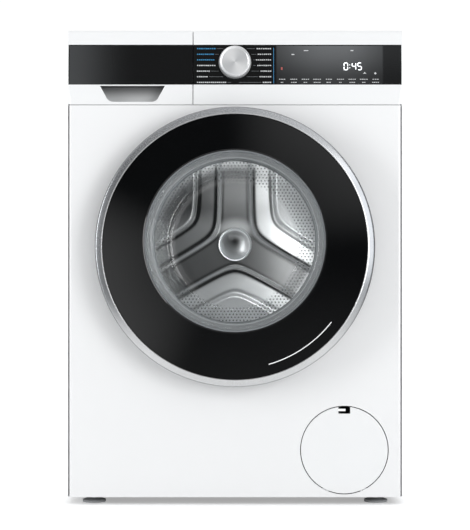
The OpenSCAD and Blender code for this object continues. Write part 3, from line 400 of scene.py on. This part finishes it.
def dots(tree, u, v, pitch, radius):
    """1 inside round holes on a staggered grid of that pitch, and 0 between them."""
    nearest = None
    for shift in (0.0, 0.5):
        a, b = (maths(tree, "ADD", maths(tree, "DIVIDE", way, step), shift)
                for way, step in ((u, pitch), (v, pitch * 1.732)))
        a, b = (maths(tree, "SUBTRACT", maths(tree, "FRACT", way), 0.5) for way in (a, b))
        b = maths(tree, "MULTIPLY", b, 1.732)
        far = off_axis(tree, a, b)
        nearest = far if nearest is None else maths(tree, "MINIMUM", nearest, far)
    return rise(tree, nearest, radius / pitch + 0.06, radius / pitch - 0.06)


def stainless(name, holes_from=None, wall=False):
    """Stainless drum steel: satin, brushed in circles, pierced by rows of 3 mm holes."""
    made, tree = new_material(name)
    at = add(tree, "SeparateXYZ", {0: place(tree)})
    x = at.outputs["X"]
    z = maths(tree, "SUBTRACT", at.outputs["Z"], drum_z)
    out = off_axis(tree, x, z)
    if wall:
        u, v = maths(tree, "MULTIPLY", maths(tree, "ARCTAN2", z, x), drum_r), at.outputs["Y"]
    else:
        u, v = x, z
    holes = dots(tree, u, v, 7.2 * MM, 1.5 * MM)
    if holes_from:
        limits = {"Value": out, "From Min": holes_from, "From Max": holes_from + 8 * MM}
        pierced = add(tree, "MapRange", limits)
        holes = maths(tree, "MULTIPLY", holes, pierced.outputs[0])
    turn = maths(tree, "ARCTAN2", z, x)
    along = add(tree, "CombineXYZ", {"X": maths(tree, "MULTIPLY", out, 900.0),
                                     "Y": maths(tree, "MULTIPLY", turn, 6.0)})
    brushed = add(tree, "TexNoise", {"Vector": along.outputs[0], "Scale": 1.0, "Detail": 3.0}).outputs["Fac"]
    steel = shades(tree, brushed, "#D2D4D6", "#DCDEE0")
    if holes_from:
        # painted light and shade: the pressed back's steel is darkened on its arms and its ridges' shade
        # lines, and brightened on their highlights
        pressed = add(tree, "Attribute", attribute_name="painted_back_light").outputs["Fac"]
        steel = shades(tree, brushed, "#EEF0F1", "#F8F9FA")
        steel = shades(tree, pressed, "#141516", steel)
    shader = add(tree, "BsdfPrincipled", {
        "Base Color": shades(tree, holes, steel, "#4A4C4E"),
        "Roughness": between(tree, brushed, 0.30, 0.36),
        "Normal": bumped(tree, maths(tree, "MULTIPLY", holes, -1.0), 0.3)})
    shader.inputs["Metallic"].default_value = 0.6
    ends(tree, shader)
    return made


def polished_cap():
    """Deep drawn stainless cap on the drum's hub: bright, almost a mirror, with a painted dark reflection a
    little above its middle.
    """
    made, tree = new_material("polished_cap")
    at = add(tree, "SeparateXYZ", {0: place(tree)})
    z = maths(tree, "SUBTRACT", at.outputs["Z"], drum_z)
    out = off_axis(tree, at.outputs["X"], z)
    # painted reflection: a dark patch within the cap's dome, darkest a little above its middle
    lift = maths(tree, "SUBTRACT", z, 8 * MM)
    from_spot = off_axis(tree, at.outputs["X"], lift)
    spot = maths(tree, "POWER", rise(tree, from_spot, 36 * MM, 0.0), 0.7)
    painted_dark_reflection = maths(tree, "MULTIPLY", spot, rise(tree, out, 27 * MM, 29.5 * MM, 1.0, 0.0))
    steel = shades(tree, grain(tree, 14), "#E6E8EA", "#DCDFE1")
    shader = add(tree, "BsdfPrincipled", {
        "Base Color": shades(tree, painted_dark_reflection, steel, "#161718"),
        "Roughness": between(tree, grain(tree, 3), 0.28, 0.34),
        "Normal": bumped(tree, grain(tree, 1.0), 0.003)})
    shader.inputs["Metallic"].default_value = 0.7
    ends(tree, shader)
    return made


def pressed_glass():
    """Pressed borosilicate glass of the bowl: clear, with a milky bead round its rim."""
    made, tree = new_material("pressed_glass")
    at = add(tree, "SeparateXYZ", {0: place(tree)})
    x = at.outputs["X"]
    z = maths(tree, "SUBTRACT", at.outputs["Z"], drum_z)
    out = off_axis(tree, x, z)
    ripple = maths(tree, "SINE", maths(tree, "MULTIPLY", out, 2 * math.pi / (3.2 * MM)))
    normal = bumped(tree, add(tree, "MapRange", {"Value": ripple, "From Min": -1.0}).outputs[0], 0.004)
    clear = add(tree, "BsdfTransparent", {"Color": linear("#FBFCFC")})
    gloss = add(tree, "BsdfGlossy", {"Color": linear("#FFFFFF"), "Roughness": 0.04, "Normal": normal},
                distribution="GGX")
    facing = add(tree, "Fresnel", {"IOR": 1.47}).outputs[0]
    bend = add(tree, "MapRange", {"Value": facing, "From Min": 0.03, "From Max": 0.9,
                                  "To Min": 0.03, "To Max": 0.16}).outputs[0]
    body = add(tree, "MixShader", {0: bend, 1: clear.outputs[0], 2: gloss.outputs[0]})
    milk = add(tree, "BsdfDiffuse", {"Color": linear("#B9BDBF"), "Roughness": 0.3})
    rim = rise(tree, out, window_r - 14.2 * MM, window_r - 13.2 * MM, 0.0, 0.20)
    bead = maths(tree, "MULTIPLY", rise(tree, out, window_r - 14.6 * MM, window_r - 13.6 * MM),
                 rise(tree, out, window_r - 12.8 * MM, window_r - 11.6 * MM, 1.0, 0.0))
    rim = maths(tree, "ADD", rim, maths(tree, "MULTIPLY", bead, 0.35))
    whole = add(tree, "MixShader", {0: rim, 1: body.outputs[0], 2: milk.outputs[0]})
    ends(tree, whole)
    return made


def screen_print(name, colour, glow=0.0):
    """Ceramic ink printed on the glass: an even satin tone, lit where it is a display; the faint glow of the
    other inks is painted light.
    """
    made, tree = new_material(name)
    shader = add(tree, "BsdfPrincipled", {
        "Base Color": shades(tree, grain(tree, 0.8), colour, colour),
        "Roughness": between(tree, grain(tree, 2), 0.30, 0.36)})
    shader.inputs["Emission Color"].default_value = linear(colour)
    shader.inputs["Emission Strength"].default_value = glow
    ends(tree, shader)
    return made


# ---- making pieces ----

def piece(bm, name, body, material, stands_for=(), sharp=35):
    """Makes the mesh a piece that rides on a body, and stands for those CAD nodes."""
    mesh = bpy.data.meshes.new(name)
    bm.to_mesh(mesh)
    bm.free()
    mesh.materials.append(material)
    mesh.shade_smooth()
    mesh.set_sharp_from_angle(angle=math.radians(sharp))
    made = bpy.data.objects.new(name, mesh)
    bpy.context.scene.collection.objects.link(made)
    if body:
        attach(made, body)
    if stands_for:
        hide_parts(*stands_for)
    return made


def turned(outline, centre_z, steps=160, closed=True):
    """A solid turned about the Y axis at that height from an outline of radius and Y."""
    bm = bmesh.new()
    corners = [bm.verts.new((r, y, centre_z)) for r, y in outline]
    pairs = list(zip(corners, corners[1:])) + ([(corners[-1], corners[0])] if closed else [])
    edges = [bm.edges.new(pair) for pair in pairs]
    bmesh.ops.spin(bm, geom=corners + edges, cent=(0, 0, centre_z), axis=(0, 1, 0),
                   dvec=(0, 0, 0), angle=2 * math.pi, steps=steps, use_merge=True)
    bmesh.ops.remove_doubles(bm, verts=bm.verts, dist=1e-6)
    bmesh.ops.recalc_face_normals(bm, faces=bm.faces)
    return bm


def curve(points, steps=6):
    """Rounds an outline's inner corners with short arcs, keeping its first and last points."""
    made = [points[0]]
    for before, here, after in zip(points, points[1:], points[2:]):
        a, b, c = (Vector(p) for p in (before, here, after))
        cut = min((a - b).length, (c - b).length) * 0.45
        start, stop = b + (a - b).normalized() * cut, b + (c - b).normalized() * cut
        for k in range(steps + 1):
            t = k / steps
            made.append(tuple(start * (1 - t) ** 2 + b * 2 * t * (1 - t) + stop * t ** 2))
    return made + [points[-1]]


def block(bm, matrix, x, y, z, edge=0.0, segments=3):
    """Adds a box of that size, with its edges rounded."""
    made = bmesh.ops.create_cube(bm, size=1.0)["verts"]
    bmesh.ops.scale(bm, vec=(x, y, z), verts=made)
    if edge:
        edges = list({e for v in made for e in v.link_edges})
        done = bmesh.ops.bevel(bm, geom=edges, offset=edge, segments=segments, profile=0.5,
                               affect="EDGES", material=-1)
        made = list({v for f in done["faces"] for v in f.verts} | {v for v in made if v.is_valid})
    bmesh.ops.transform(bm, matrix=matrix, verts=made)


# ---- studio ----

def camera():
    """A long lens straight in front, at half the machine's height."""
    data = bpy.data.cameras.new("camera")
    data.sensor_fit = "HORIZONTAL"
    data.sensor_width = 36.0
    distance = 2.70
    data.lens = 36.0 * distance / (470 * 1.783 * MM)
    made = bpy.data.objects.new("camera", data)
    made.location = (0.0, face_y - distance, 0.428)
    made.rotation_euler = (math.pi / 2, 0, 0)
    bpy.context.scene.collection.objects.link(made)
    bpy.context.scene.camera = made


def softbox(name, place_at, aim, size, power):
    """A large soft rectangular light."""
    data = bpy.data.lights.new(name, "AREA")
    data.shape = "RECTANGLE"
    data.size, data.size_y = size
    data.energy = power
    made = bpy.data.objects.new(name, data)
    made.location = place_at
    made.rotation_euler = (Vector(aim) - Vector(place_at)).to_track_quat("-Z", "Y").to_euler()
    made.visible_camera = False
    bpy.context.scene.collection.objects.link(made)
    return made


def studio():
    """A white room with a dark curtain behind the camera, soft boxes, and a pale floor."""
    world = bpy.data.worlds.new("white_room")
    bpy.context.scene.world = world
    world.use_nodes = True
    tree = world.node_tree
    tree.nodes.clear()
    way = add(tree, "SeparateXYZ", {0: add(tree, "TexCoord").outputs["Generated"]})
    x, z = way.outputs["X"], way.outputs["Z"]

    def lobe(angle, edge, strength):
        """A soft lobe of light on one side of the curtain's middle."""
        a = math.radians(angle)
        level = maths(tree, "SUBTRACT", z, 0.0115)
        along = maths(tree, "MULTIPLY", level, math.sin(a))
        along = maths(tree, "ADD", maths(tree, "MULTIPLY", x, math.cos(a)), along)
        far = off_axis(tree, x, level)
        limit = math.cos(math.radians(edge))
        turned_to = rise(tree, maths(tree, "DIVIDE", along, far), limit, 1.0, 0.0, strength)
        turned_to = maths(tree, "MULTIPLY", turned_to, rise(tree, z, 0.115, 0.16, 1.0, 0.0))
        return maths(tree, "MULTIPLY", turned_to, rise(tree, far, 0.030, 0.110, 0.30, 1.35))

    glow = maths(tree, "ADD", lobe(200, 50, 0.85), lobe(285, 70, 0.16))
    glow = maths(tree, "ADD", glow, lobe(47, 48, 0.58))
    glow = maths(tree, "ADD", glow, rise(tree, z, 0.12, 0.20, 0.02, 0.20))
    up = maths(tree, "DIVIDE", maths(tree, "SUBTRACT", z, 0.12), 0.26)
    off = off_axis(tree, maths(tree, "DIVIDE", x, 0.20), up)
    wide = maths(tree, "ADD", maths(tree, "MULTIPLY", x, x), maths(tree, "MULTIPLY", z, z))
    wide = maths(tree, "SQRT", maths(tree, "ADD", wide, 0.0001))
    side = maths(tree, "ADD", 0.76, maths(tree, "MULTIPLY", maths(tree, "DIVIDE", x, wide), 0.40))
    climb = maths(tree, "MAXIMUM", maths(tree, "DIVIDE", z, wide), 0.0)
    side = maths(tree, "SUBTRACT", side, maths(tree, "MULTIPLY", climb, 0.18))
    front = add(tree, "Mix", {"Factor": rise(tree, off, 0.95, 1.5), "A": glow, "B": side}, data_type="FLOAT")
    behind = rise(tree, way.outputs["Y"], -0.35, 0.15)
    room = add(tree, "Mix", {"Factor": behind, "A": front.outputs["Result"], "B": 0.86}, data_type="FLOAT")
    sky = add(tree, "Background", {"Color": (0.99, 0.995, 1.0, 1.0), "Strength": room.outputs["Result"]})
    bright = add(tree, "Background", {"Color": (1.0, 1.0, 1.0, 1.0), "Strength": 1.05})
    seen = add(tree, "LightPath").outputs["Is Camera Ray"]
    both = add(tree, "MixShader", {0: seen, 1: sky.outputs[0], 2: bright.outputs[0]})
    add(tree, "OutputWorld", {"Surface": both.outputs[0]})
    middle = (0.0, 0.0, 0.45)
    softbox("key_right", (2.3, -2.6, 1.0), middle, (1.3, 2.2), 40)
    softbox("key_left", (-3.1, -1.6, 0.9), middle, (1.0, 2.2), 58)
    softbox("drum_lamp_right", (0.13, -0.13, drum_z - 0.02), (-0.06, 0.14, drum_z - 0.03), (0.05, 0.20), 0.30)
    softbox("drum_lamp_top", (0.02, -0.13, drum_z + 0.13), (0.03, 0.14, drum_z - 0.04), (0.20, 0.04), 0.20)
    bpy.context.scene.view_settings.view_transform = "Standard"

    bm = bmesh.new()
    bmesh.ops.create_grid(bm, x_segments=1, y_segments=1, size=3.0)
    bmesh.ops.translate(bm, vec=(0, 1.8, 0), verts=bm.verts)
    mesh = bpy.data.meshes.new("floor")
    bm.to_mesh(mesh)
    bm.free()
    floor = bpy.data.objects.new("floor", mesh)
    bpy.context.scene.collection.objects.link(floor)
    made, tree = new_material("floor_paper")
    paper = add(tree, "BsdfDiffuse", {"Color": shades(tree, grain(tree, 400), "#F4F5F6", "#F0F1F2")})
    lit = add(tree, "Emission", {"Color": (1.0, 1.0, 1.0, 1.0), "Strength": 0.36})
    shown = add(tree, "AddShader", {0: paper.outputs[0], 1: lit.outputs[0]})
    dull = add(tree, "BsdfDiffuse", {"Color": (0.84, 0.84, 0.84, 1.0)})
    seen = add(tree, "LightPath").outputs["Is Camera Ray"]
    ends(tree, add(tree, "MixShader", {0: seen, 1: dull.outputs[0], 2: shown.outputs[0]}))
    mesh.materials.append(made)


# ---- door ----

def door():
    """The silver ring, the black glazing with its printed arc, and the glass bowl."""
    y, depth = door_y, ring_high.y - door_y
    inner = glazing_r
    outline = curve([(inner, y + depth), (inner, y + 1.6 * MM), (inner + 0.9 * MM, y),
                     (inner + 2.0 * MM, y + 0.2 * MM), (door_r - 2.2 * MM, y + 3.4 * MM),
                     (door_r - 0.4 * MM, y + 6 * MM), (door_r, y + 12 * MM),
                     (door_r, y + depth - 3 * MM), (door_r - 2 * MM, y + depth)], 4)
    bm = turned(outline, door_z, 192)
    notch(bm)
    piece(bm, "door_ring_trim", "door", silver_plating(), ["door_ring"])

    front, back = span("door_glass_ring")[0].y, span("door_glass_ring")[1].y
    bm = bmesh.new()
    hole_shift = drum_z - door_z
    rings = []
    for radius, level, edge in ((glazing_r, 0.0, back), (glazing_r, 0.0, front + 0.8 * MM),
                                (glazing_r - 0.8 * MM, 0.0, front), (window_r + 2.2 * MM, hole_shift, front),
                                (window_r + 0.6 * MM, hole_shift, front + 0.7 * MM),
                                (window_r, hole_shift, front + 2 * MM),
                                (window_r, hole_shift, back)):
        made = bmesh.ops.create_circle(bm, cap_ends=False, segments=192, radius=radius)["verts"]
        stood = Matrix.Translation((0, edge, door_z + level)) @ Matrix.Rotation(math.pi / 2, 4, "X")
        bmesh.ops.transform(bm, matrix=stood, verts=made)
        rings.append(list({e for v in made for e in v.link_edges}))
    for a, b in zip(rings, rings[1:] + rings[:1]):
        bmesh.ops.bridge_loops(bm, edges=a + b)
    bmesh.ops.recalc_face_normals(bm, faces=bm.faces)
    glazing = printed_glazing("printed_door_glazing")
    piece(bm, "door_glazing", "door", glazing, ["door_glass_ring"], 15)

    arc = bmesh.new()
    start = math.radians(-74)
    sweep = math.radians(36)
    corners = [arc.verts.new((r * math.cos(start), front - 0.05 * MM, door_z + r * math.sin(start)))
               for r in (214.2 * MM, 215.6 * MM)]
    edge = arc.edges.new(corners)
    bmesh.ops.spin(arc, geom=corners + [edge], cent=(0, 0, door_z), axis=(0, -1, 0), dvec=(0, 0, 0),
                   angle=sweep, steps=48, use_merge=False)
    bmesh.ops.recalc_face_normals(arc, faces=arc.faces)
    # painted light: the white ink is given a faint glow
    piece(arc, "door_arc_print", "door", screen_print("white_ink", "#F2F3F4", 0.25))

    y0, y1 = bowl_low.y, bowl_high.y
    wall = 6 * MM
    r = window_r - 2.3 * MM
    outer = [(0.0001, y1), (r - 46 * MM, y1), (r - 33 * MM, y1 - 5 * MM),
             (r - 14.5 * MM, face_y + 36 * MM), (r - 12.5 * MM, face_y + 27 * MM),
             (r - 4 * MM, face_y - 2 * MM), (r, face_y - 8 * MM), (r, y0 + 0.5 * MM)]
    inner_wall = [(r - 1.5 * MM, y0), (r - 9 * MM, y0), (r - 12 * MM, y0 + 3 * MM),
                  (r - 18 * MM, face_y + 27 * MM), (r - 38 * MM, y1 - 8 * MM),
                  (r - 48 * MM, y1 - wall), (0.0001, y1 - wall)]
    bm = turned(curve(outer, 5) + curve(inner_wall, 5), drum_z, 192, closed=True)
    piece(bm, "glass_bowl", "door", pressed_glass(), ["door_bowl"], 60)


def notch(bm):
    """Opens the ring behind its left edge for the hinge's knuckles and its plate, as its CAD node is."""
    low, high = span("hinge_bracket")
    middle = (low.z + high.z) / 2
    cuts = ((40 * MM, joint("door_swing")["pos_m"][1] - 9 * MM), (54 * MM, face_y - 5 * MM))
    for half, y in cuts:
        planes = [((0, 0, level), (0, 0, 1)) for level in (middle - half, middle + half)]
        planes.append(((0, y, 0), (0, 1, 0)))
        for place_at, normal in planes:
            whole = bm.verts[:] + bm.edges[:] + bm.faces[:]
            bmesh.ops.bisect_plane(bm, geom=whole, plane_co=place_at, plane_no=normal)
        gone = []
        for face in bm.faces:
            at = face.calc_center_median()
            if at.x < -0.19 and abs(at.z - middle) < half and at.y > y:
                gone.append(face)
        bmesh.ops.delete(bm, geom=gone, context="FACES")
        for level in (middle - half, middle + half):
            wall = [e for e in bm.edges if e.is_boundary and all(abs(v.co.z - level) < 1e-6 for v in e.verts)]
            corners = {v for e in wall for v in e.verts}
            bm.edges.new([v for v in corners if sum(e in wall for e in v.link_edges) == 1])
        for place_at, normal in planes:
            flat = [e for e in bm.edges if (e.is_boundary or e.is_wire)
                    and all(abs((v.co - Vector(place_at)).dot(Vector(normal))) < 1e-6 for v in e.verts)]
            bmesh.ops.edgeloop_fill(bm, edges=flat)
    bmesh.ops.recalc_face_normals(bm, faces=bm.faces)


# ---- drum ----

def ramp(value, low, high):
    """0 below low, 1 above high, and a smooth rise between."""
    t = min(max((value - low) / (high - low), 0.0), 1.0)
    return t * t * (3 - 2 * t)


def relief(x, z):
    """How far the drum's pressed back stands out at a place, in millimetres: three arms
    between three fields, each field ringed by a rounded V of ridges."""
    field, side = max(((x * math.cos(a) + z * math.sin(a), abs(z * math.cos(a) - x * math.sin(a)))
                       for a in map(math.radians, (30, 150, 270))), key=lambda p: p[0])
    off_arm = (field * math.sin(math.pi / 3) - math.hypot(side, 20) * 0.5)
    r = math.hypot(x, z)
    edge = ramp(off_arm, 26, 34)
    height = 6.5 * edge
    height += 1.6 * math.exp(-((off_arm - 34) / 3.0) ** 2)
    height -= 5.0 * (ramp(off_arm, 69, 73) - ramp(off_arm, 76, 80))
    height += 2.5 * ramp(off_arm, 78, 82) + 1.4 * math.exp(-((off_arm - 84) / 2.5) ** 2)
    height -= 0.17 * max(off_arm - 90, 0)
    return height * (1 - ramp(r, 196, 214))


def painted_back_light(x, z):
    """Painted light and shade on the pressed back at a place: dull arms, a painted highlight and a painted
    shade line along every ridge, and fields painted brighter to the right."""
    field, side = max(((x * math.cos(a) + z * math.sin(a), abs(z * math.cos(a) - x * math.sin(a)))
                       for a in map(math.radians, (30, 150, 270))), key=lambda p: p[0])
    off_arm = field * math.sin(math.pi / 3) - math.hypot(side, 20) * 0.5
    arms = 0.13 + 0.11 * ramp(x, -20, 120)
    fields = 0.30 + 0.66 * ramp(x, -60, 120) + 0.6 * ramp(-z, 20, 110) - 0.22 * ramp(z, 30, 80)
    tone = arms + (fields - arms) * ramp(off_arm, 34, 46)
    tone += 0.75 * math.exp(-((off_arm - 30) / 2.8) ** 2) - 0.55 * math.exp(-((off_arm - 37.5) / 2.8) ** 2)
    tone -= 0.55 * math.exp(-((off_arm - 71) / 2.8) ** 2) + 0.12 * math.exp(-((off_arm - 24) / 3.0) ** 2)
    tone += 0.65 * math.exp(-((off_arm - 80) / 2.8) ** 2)
    r = math.hypot(x, z)
    near_hub = 1 - ramp(r, 34, 62)
    tone += (0.72 - tone) * near_hub * ramp(z, 10, 40) * 0.8
    tone += (0.66 + 0.34 * ramp(z, 40, 140) - tone) * ramp(r, 148, 176)
    return min(max(tone, 0.0), 1.0)


def drum():
    """The pressed back with its cap, the pierced shell, and the three paddles."""
    y = back_low.y + 4.3 * MM
    rim = drum_r - 1.2 * MM
    bm = bmesh.new()
    steps = 104
    corners = [bm.verts.new((rim * k / steps, y, drum_z)) for k in range(steps + 1)]
    corners.append(bm.verts.new((rim, y + 7 * MM, drum_z)))
    edges = [bm.edges.new(pair) for pair in zip(corners, corners[1:])]
    bmesh.ops.spin(bm, geom=corners + edges, cent=(0, 0, drum_z), axis=(0, 1, 0), dvec=(0, 0, 0),
                   angle=2 * math.pi, steps=420, use_merge=True)
    bmesh.ops.remove_doubles(bm, verts=bm.verts, dist=1e-6)
    # painted light and shade of the pressed back, stored on its points for the steel's colour
    tones = bm.verts.layers.float.new("painted_back_light")
    for v in bm.verts:
        v[tones] = painted_back_light(v.co.x / MM, (v.co.z - drum_z) / MM)
        if v.co.y < y + 1 * MM:
            v.co.y -= relief(v.co.x / MM, (v.co.z - drum_z) / MM) * MM
    bmesh.ops.recalc_face_normals(bm, faces=bm.faces)
    towards = sum(1 for f in bm.faces if f.normal.y < 0)
    if towards < len(bm.faces) / 2:
        bmesh.ops.reverse_faces(bm, faces=bm.faces)
    steel = stainless("satin_stainless_back", 126 * MM)
    piece(bm, "drum_pressed_back", "drum", steel, ["drum_back"], 60)

    cap = 34.5 * MM
    outline = [(cap * 0.88 * k / 12, y - 13 * MM + 6.5 * MM * (k / 12) ** 2) for k in range(13)]
    outline += [(cap * 0.90, y - 6.2 * MM), (cap * 0.93, y - 7.6 * MM), (cap * 0.965, y - 7.9 * MM),
                (cap * 0.99, y - 6.8 * MM), (cap, y - 4 * MM), (cap * 0.985, y), (0.0, y)]
    piece(turned(outline, drum_z, 96, closed=False), "drum_hub_cap", "drum", polished_cap())

    front, rear = drum_low.y, drum_high.y
    lip = (span("door_gasket")[1].x - span("door_gasket")[0].x) / 2 - 24 * MM
    outline = [(drum_r, rear), (drum_r, front + 12 * MM), (drum_r - 3 * MM, front + 4 * MM),
               (drum_r - 12 * MM, front), (lip + 4 * MM, front), (lip, front + 3 * MM), (lip, front + 8 * MM)]
    inside = [(lip + 1 * MM, front + 8 * MM), (lip + 1.4 * MM, front + 3 * MM),
              (lip + 5 * MM, front + 1 * MM), (drum_r - 13 * MM, front + 1 * MM),
              (drum_r - 4 * MM, front + 5 * MM), (drum_r - 1 * MM, front + 13 * MM), (drum_r - 1 * MM, rear)]
    bm = turned(curve(outline, 3) + curve(inside, 3), drum_z, 160)
    steel = stainless("satin_stainless_shell", None, True)
    piece(bm, "drum_pierced_shell", "drum", steel, ["drum_shell"])

    low, high = span("drum_paddles")
    bm = bmesh.new()
    for k in range(3):
        turn = Matrix.Rotation(math.radians(60 + 120 * k), 4, "Y")
        shape = bmesh.ops.create_cube(bm, size=1.0)["verts"]
        bmesh.ops.scale(bm, vec=(46 * MM, high.y - low.y - 2 * MM, 56 * MM), verts=shape)
        top = [v for v in shape if v.co.z > 0]
        bmesh.ops.scale(bm, vec=(0.36, 0.86, 1.0), verts=top)
        edges = [e for e in {e for v in shape for e in v.link_edges} if not all(v.co.z < 0 for v in e.verts)]
        done = bmesh.ops.bevel(bm, geom=edges, offset=8 * MM, segments=5, profile=0.5,
                               affect="EDGES", material=-1)
        shape = list({v for f in done["faces"] for v in f.verts} | {v for v in shape if v.is_valid})
        seat = Matrix.Translation((0, 0, drum_r - 29.5 * MM)) @ Matrix.Rotation(math.pi, 4, "Y")
        stood = Matrix.Translation((0, (low.y + high.y) / 2, drum_z)) @ turn @ seat
        bmesh.ops.transform(bm, matrix=stood, verts=shape)
    bmesh.ops.recalc_face_normals(bm, faces=bm.faces)
    piece(bm, "drum_paddle_ribs", "drum", finish_of["paddle_plastic"], ["drum_paddles"])


# ---- fascia ----

def knob():
    """The selector: a turned aluminium face with a light rim, on its stem."""
    r = knob_r
    outline = curve([(r, -0.7 * MM), (r, -6 * MM), (r - 1.2 * MM, -14.5 * MM), (r - 2.6 * MM, -16.9 * MM),
                     (r - 4.6 * MM, -16.2 * MM), (r - 6 * MM, -15.2 * MM)], 4)
    outline = [(0.0, -0.7 * MM)] + outline + [(0.0, -15.2 * MM)]
    bm = turned(outline, 0.0, 128, closed=False)
    outline = [(0.0, 18 * MM), (3 * MM, 18 * MM), (3 * MM, -1 * MM), (0.0, -1 * MM)]
    stem = turned(outline, 0.0, 24, closed=False)
    joined = bpy.data.meshes.new("stem")
    stem.to_mesh(joined)
    stem.free()
    bm.from_mesh(joined)
    bmesh.ops.transform(bm, matrix=fascia_frame(0.0, 0.0, knob_h), verts=bm.verts)
    piece(bm, "selector_knob_turned", "selector", spun_aluminium(), ["selector_knob"])


def marks(name, shapes, material, body="cabinet"):
    """Thin printed bars on the strip, each given as centre, width, height and tilt."""
    bm = bmesh.new()
    for x, height, wide, tall, tilt in shapes:
        stood = fascia_frame(x, -0.05 * MM, height) @ Matrix.Rotation(math.radians(tilt), 4, "Y")
        block(bm, stood, wide, 0.06 * MM, tall)
    piece(bm, name, body, material)


def seven_segment(character, x, height, tall):
    """The bars of one digit of the display."""
    wide = tall * 0.52
    thick = tall * 0.11
    half = tall / 2
    bars = {sign: (0, up, wide - thick, thick) for sign, up in (("a", half), ("g", 0), ("d", -half))}
    for sign, across, up in (("f", -1, 1), ("b", 1, 1), ("e", -1, -1), ("c", 1, -1)):
        bars[sign] = (across * wide / 2, up * half / 2, thick, half - thick)
    lit = {"0": "abcdef", "4": "fgbc", "5": "afgcd"}[character]
    return [(x + bars[k][0], height + bars[k][1], bars[k][2], bars[k][3], 0) for k in lit]


def printing():
    """Programme bars and leaders round the knob, the time, and the rows over the touch keys."""
    # painted light: these inks are given faint glows, though print gives no light
    white = screen_print("pale_ink", "#C8CACC", 0.12)
    dim = screen_print("dim_ink", "#7C8083", 0.05)
    blue = screen_print("blue_ink", "#3C86B4", 0.10)
    rows = [101 * MM - 10.15 * MM * k for k in range(7)]
    left_words = [34, 31, 32, 34, 24, 20, 53]
    right_words = [27, 25, 28, 26, 20, 22, 16]
    names, tinted, leaders = [], [], []
    for row, wide_left, wide_right in zip(rows, left_words, right_words):
        entry = (-68.5 * MM + wide_left * MM / 2, row, wide_left * MM, 2.5 * MM, 0)
        (tinted if row > rows[3] else names).append(entry)
        names.append((65 * MM - wide_right * MM / 2, row, wide_right * MM, 2.5 * MM, 0))
        reach = math.sqrt(max((knob_r + 4 * MM) ** 2 - (row - knob_h) ** 2, (7 * MM) ** 2))
        for start, stop in ((-68.5 * MM + (wide_left + 2) * MM, -reach),
                            (reach, 65 * MM - (wide_right + 2) * MM)):
            if stop - start > 2 * MM:
                leaders.append(((start + stop) / 2, row, stop - start, 0.5 * MM, 0))
    marks("programme_names", [bar for entry in names for bar in broken(entry)], white)
    marks("programme_names_blue", [bar for entry in tinted for bar in broken(entry)], blue)
    marks("programme_leaders", leaders, dim)
    marks("display_edge", [(69 * MM, 70.5 * MM, 0.8 * MM, 64 * MM, 0)], blue)

    glow = screen_print("lit_segments", "#F4F8FA", 1.6)
    tall, height = 12.4 * MM, 69 * MM
    digits = []
    for sign, x in (("0", 198), ("4", 212.5), ("5", 222.5)):
        digits += seven_segment(sign, x * MM, height, tall)
    digits += [(205 * MM, height + s * 2.6 * MM, 1.2 * MM, 1.2 * MM, 0) for s in (-1, 1)]
    marks("display_digits", digits, glow)
    keys = []
    for k in range(9):
        x = (84 + 20.85 * k) * MM
        keys.append((x, 45.7 * MM, (12 + (k * 5) % 4) * MM, 1.6 * MM, 0))
        keys.append((x, 40.1 * MM, (5 + (k * 3) % 5 * 2) * MM, 1.6 * MM, 0))
    signs = [(127 * MM, 97.5 * MM, 8 * MM, 1.4 * MM, 0), (209 * MM, 97.5 * MM, 5 * MM, 1.8 * MM, 0),
             (103.5 * MM, 90.5 * MM, 5 * MM, 1.8 * MM, 0), (231.5 * MM, 56.2 * MM, 5.5 * MM, 0.8 * MM, 0),
             (231.5 * MM, 57.4 * MM, 2.2 * MM, 2.2 * MM, 45), (250.5 * MM, 56.4 * MM, 3.2 * MM, 3.2 * MM, 45)]
    marks("touch_key_names", [bar for entry in keys for bar in broken(entry)], white)
    marks("touch_key_signs", signs, white)
    # painted light: the red ink is given a faint glow
    red = screen_print("red_ink", "#A0524E", 0.15)
    marks("heat_sign", [(83.5 * MM, 65 * MM, 3.0 * MM, 4.8 * MM, 0)], red)


def broken(bar):
    """A bar broken into short uneven dashes, which stands for a printed word without spelling one."""
    x, height, wide, tall, tilt = bar
    steps = max(2, round(wide / (3.6 * MM)))
    part = wide / steps
    dashes = []
    for k in range(steps):
        share = 0.58 + 0.22 * ((k * 7 + steps) % 3) / 2
        dashes.append((x - wide / 2 + part * (k + 0.5), height, part * share, tall * 0.8, tilt))
    return dashes


# ---- pieces between the cabinet and the tub ----

def bending(node, name, slot):
    """A merged copy of a rubber or spring node that sits between the cabinet and the tub, left riding on no
    body.
    """
    bm = bmesh.new()
    bm.from_mesh(frame["nodes"][node].data)
    bmesh.ops.remove_doubles(bm, verts=bm.verts, dist=1e-6)
    bmesh.ops.recalc_face_normals(bm, faces=bm.faces)
    made = piece(bm, name, None, finish_of[slot], (), 30)
    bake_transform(made)
    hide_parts(node)


def suspension():
    """Everything that gives between the cabinet and the hanging tub."""
    bending("suspension_springs", "suspension_spring_wire", "spring_steel")
    bending("door_gasket", "door_gasket_rubber", "gasket_rubber")
    bending("fill_hose", "fill_hose_bellows", "belt_rubber")
    bending("sump_hose", "sump_hose_rubber", "belt_rubber")


# ---- the whole ----

SKIN_OF = {entry["node"]: entry["material_slot"] for entry in frame["record"]["subparts"]}
finish_of = {name: finish(name) for name in FINISHES}


def dress_nodes():
    """Gives each CAD node that stays in sight the finish of its own slot."""
    smoked = smoked_glazing("smoked_panel_glazing")
    for node, ob in frame["nodes"].items():
        made = smoked if node in ("panel_glass", "drawer_glass") else finish_of.get(SKIN_OF[node])
        if made:
            ob.data.materials.clear()
            ob.data.materials.append(made)


camera()
studio()
dress_nodes()
door()
drum()
knob()
printing()
suspension()
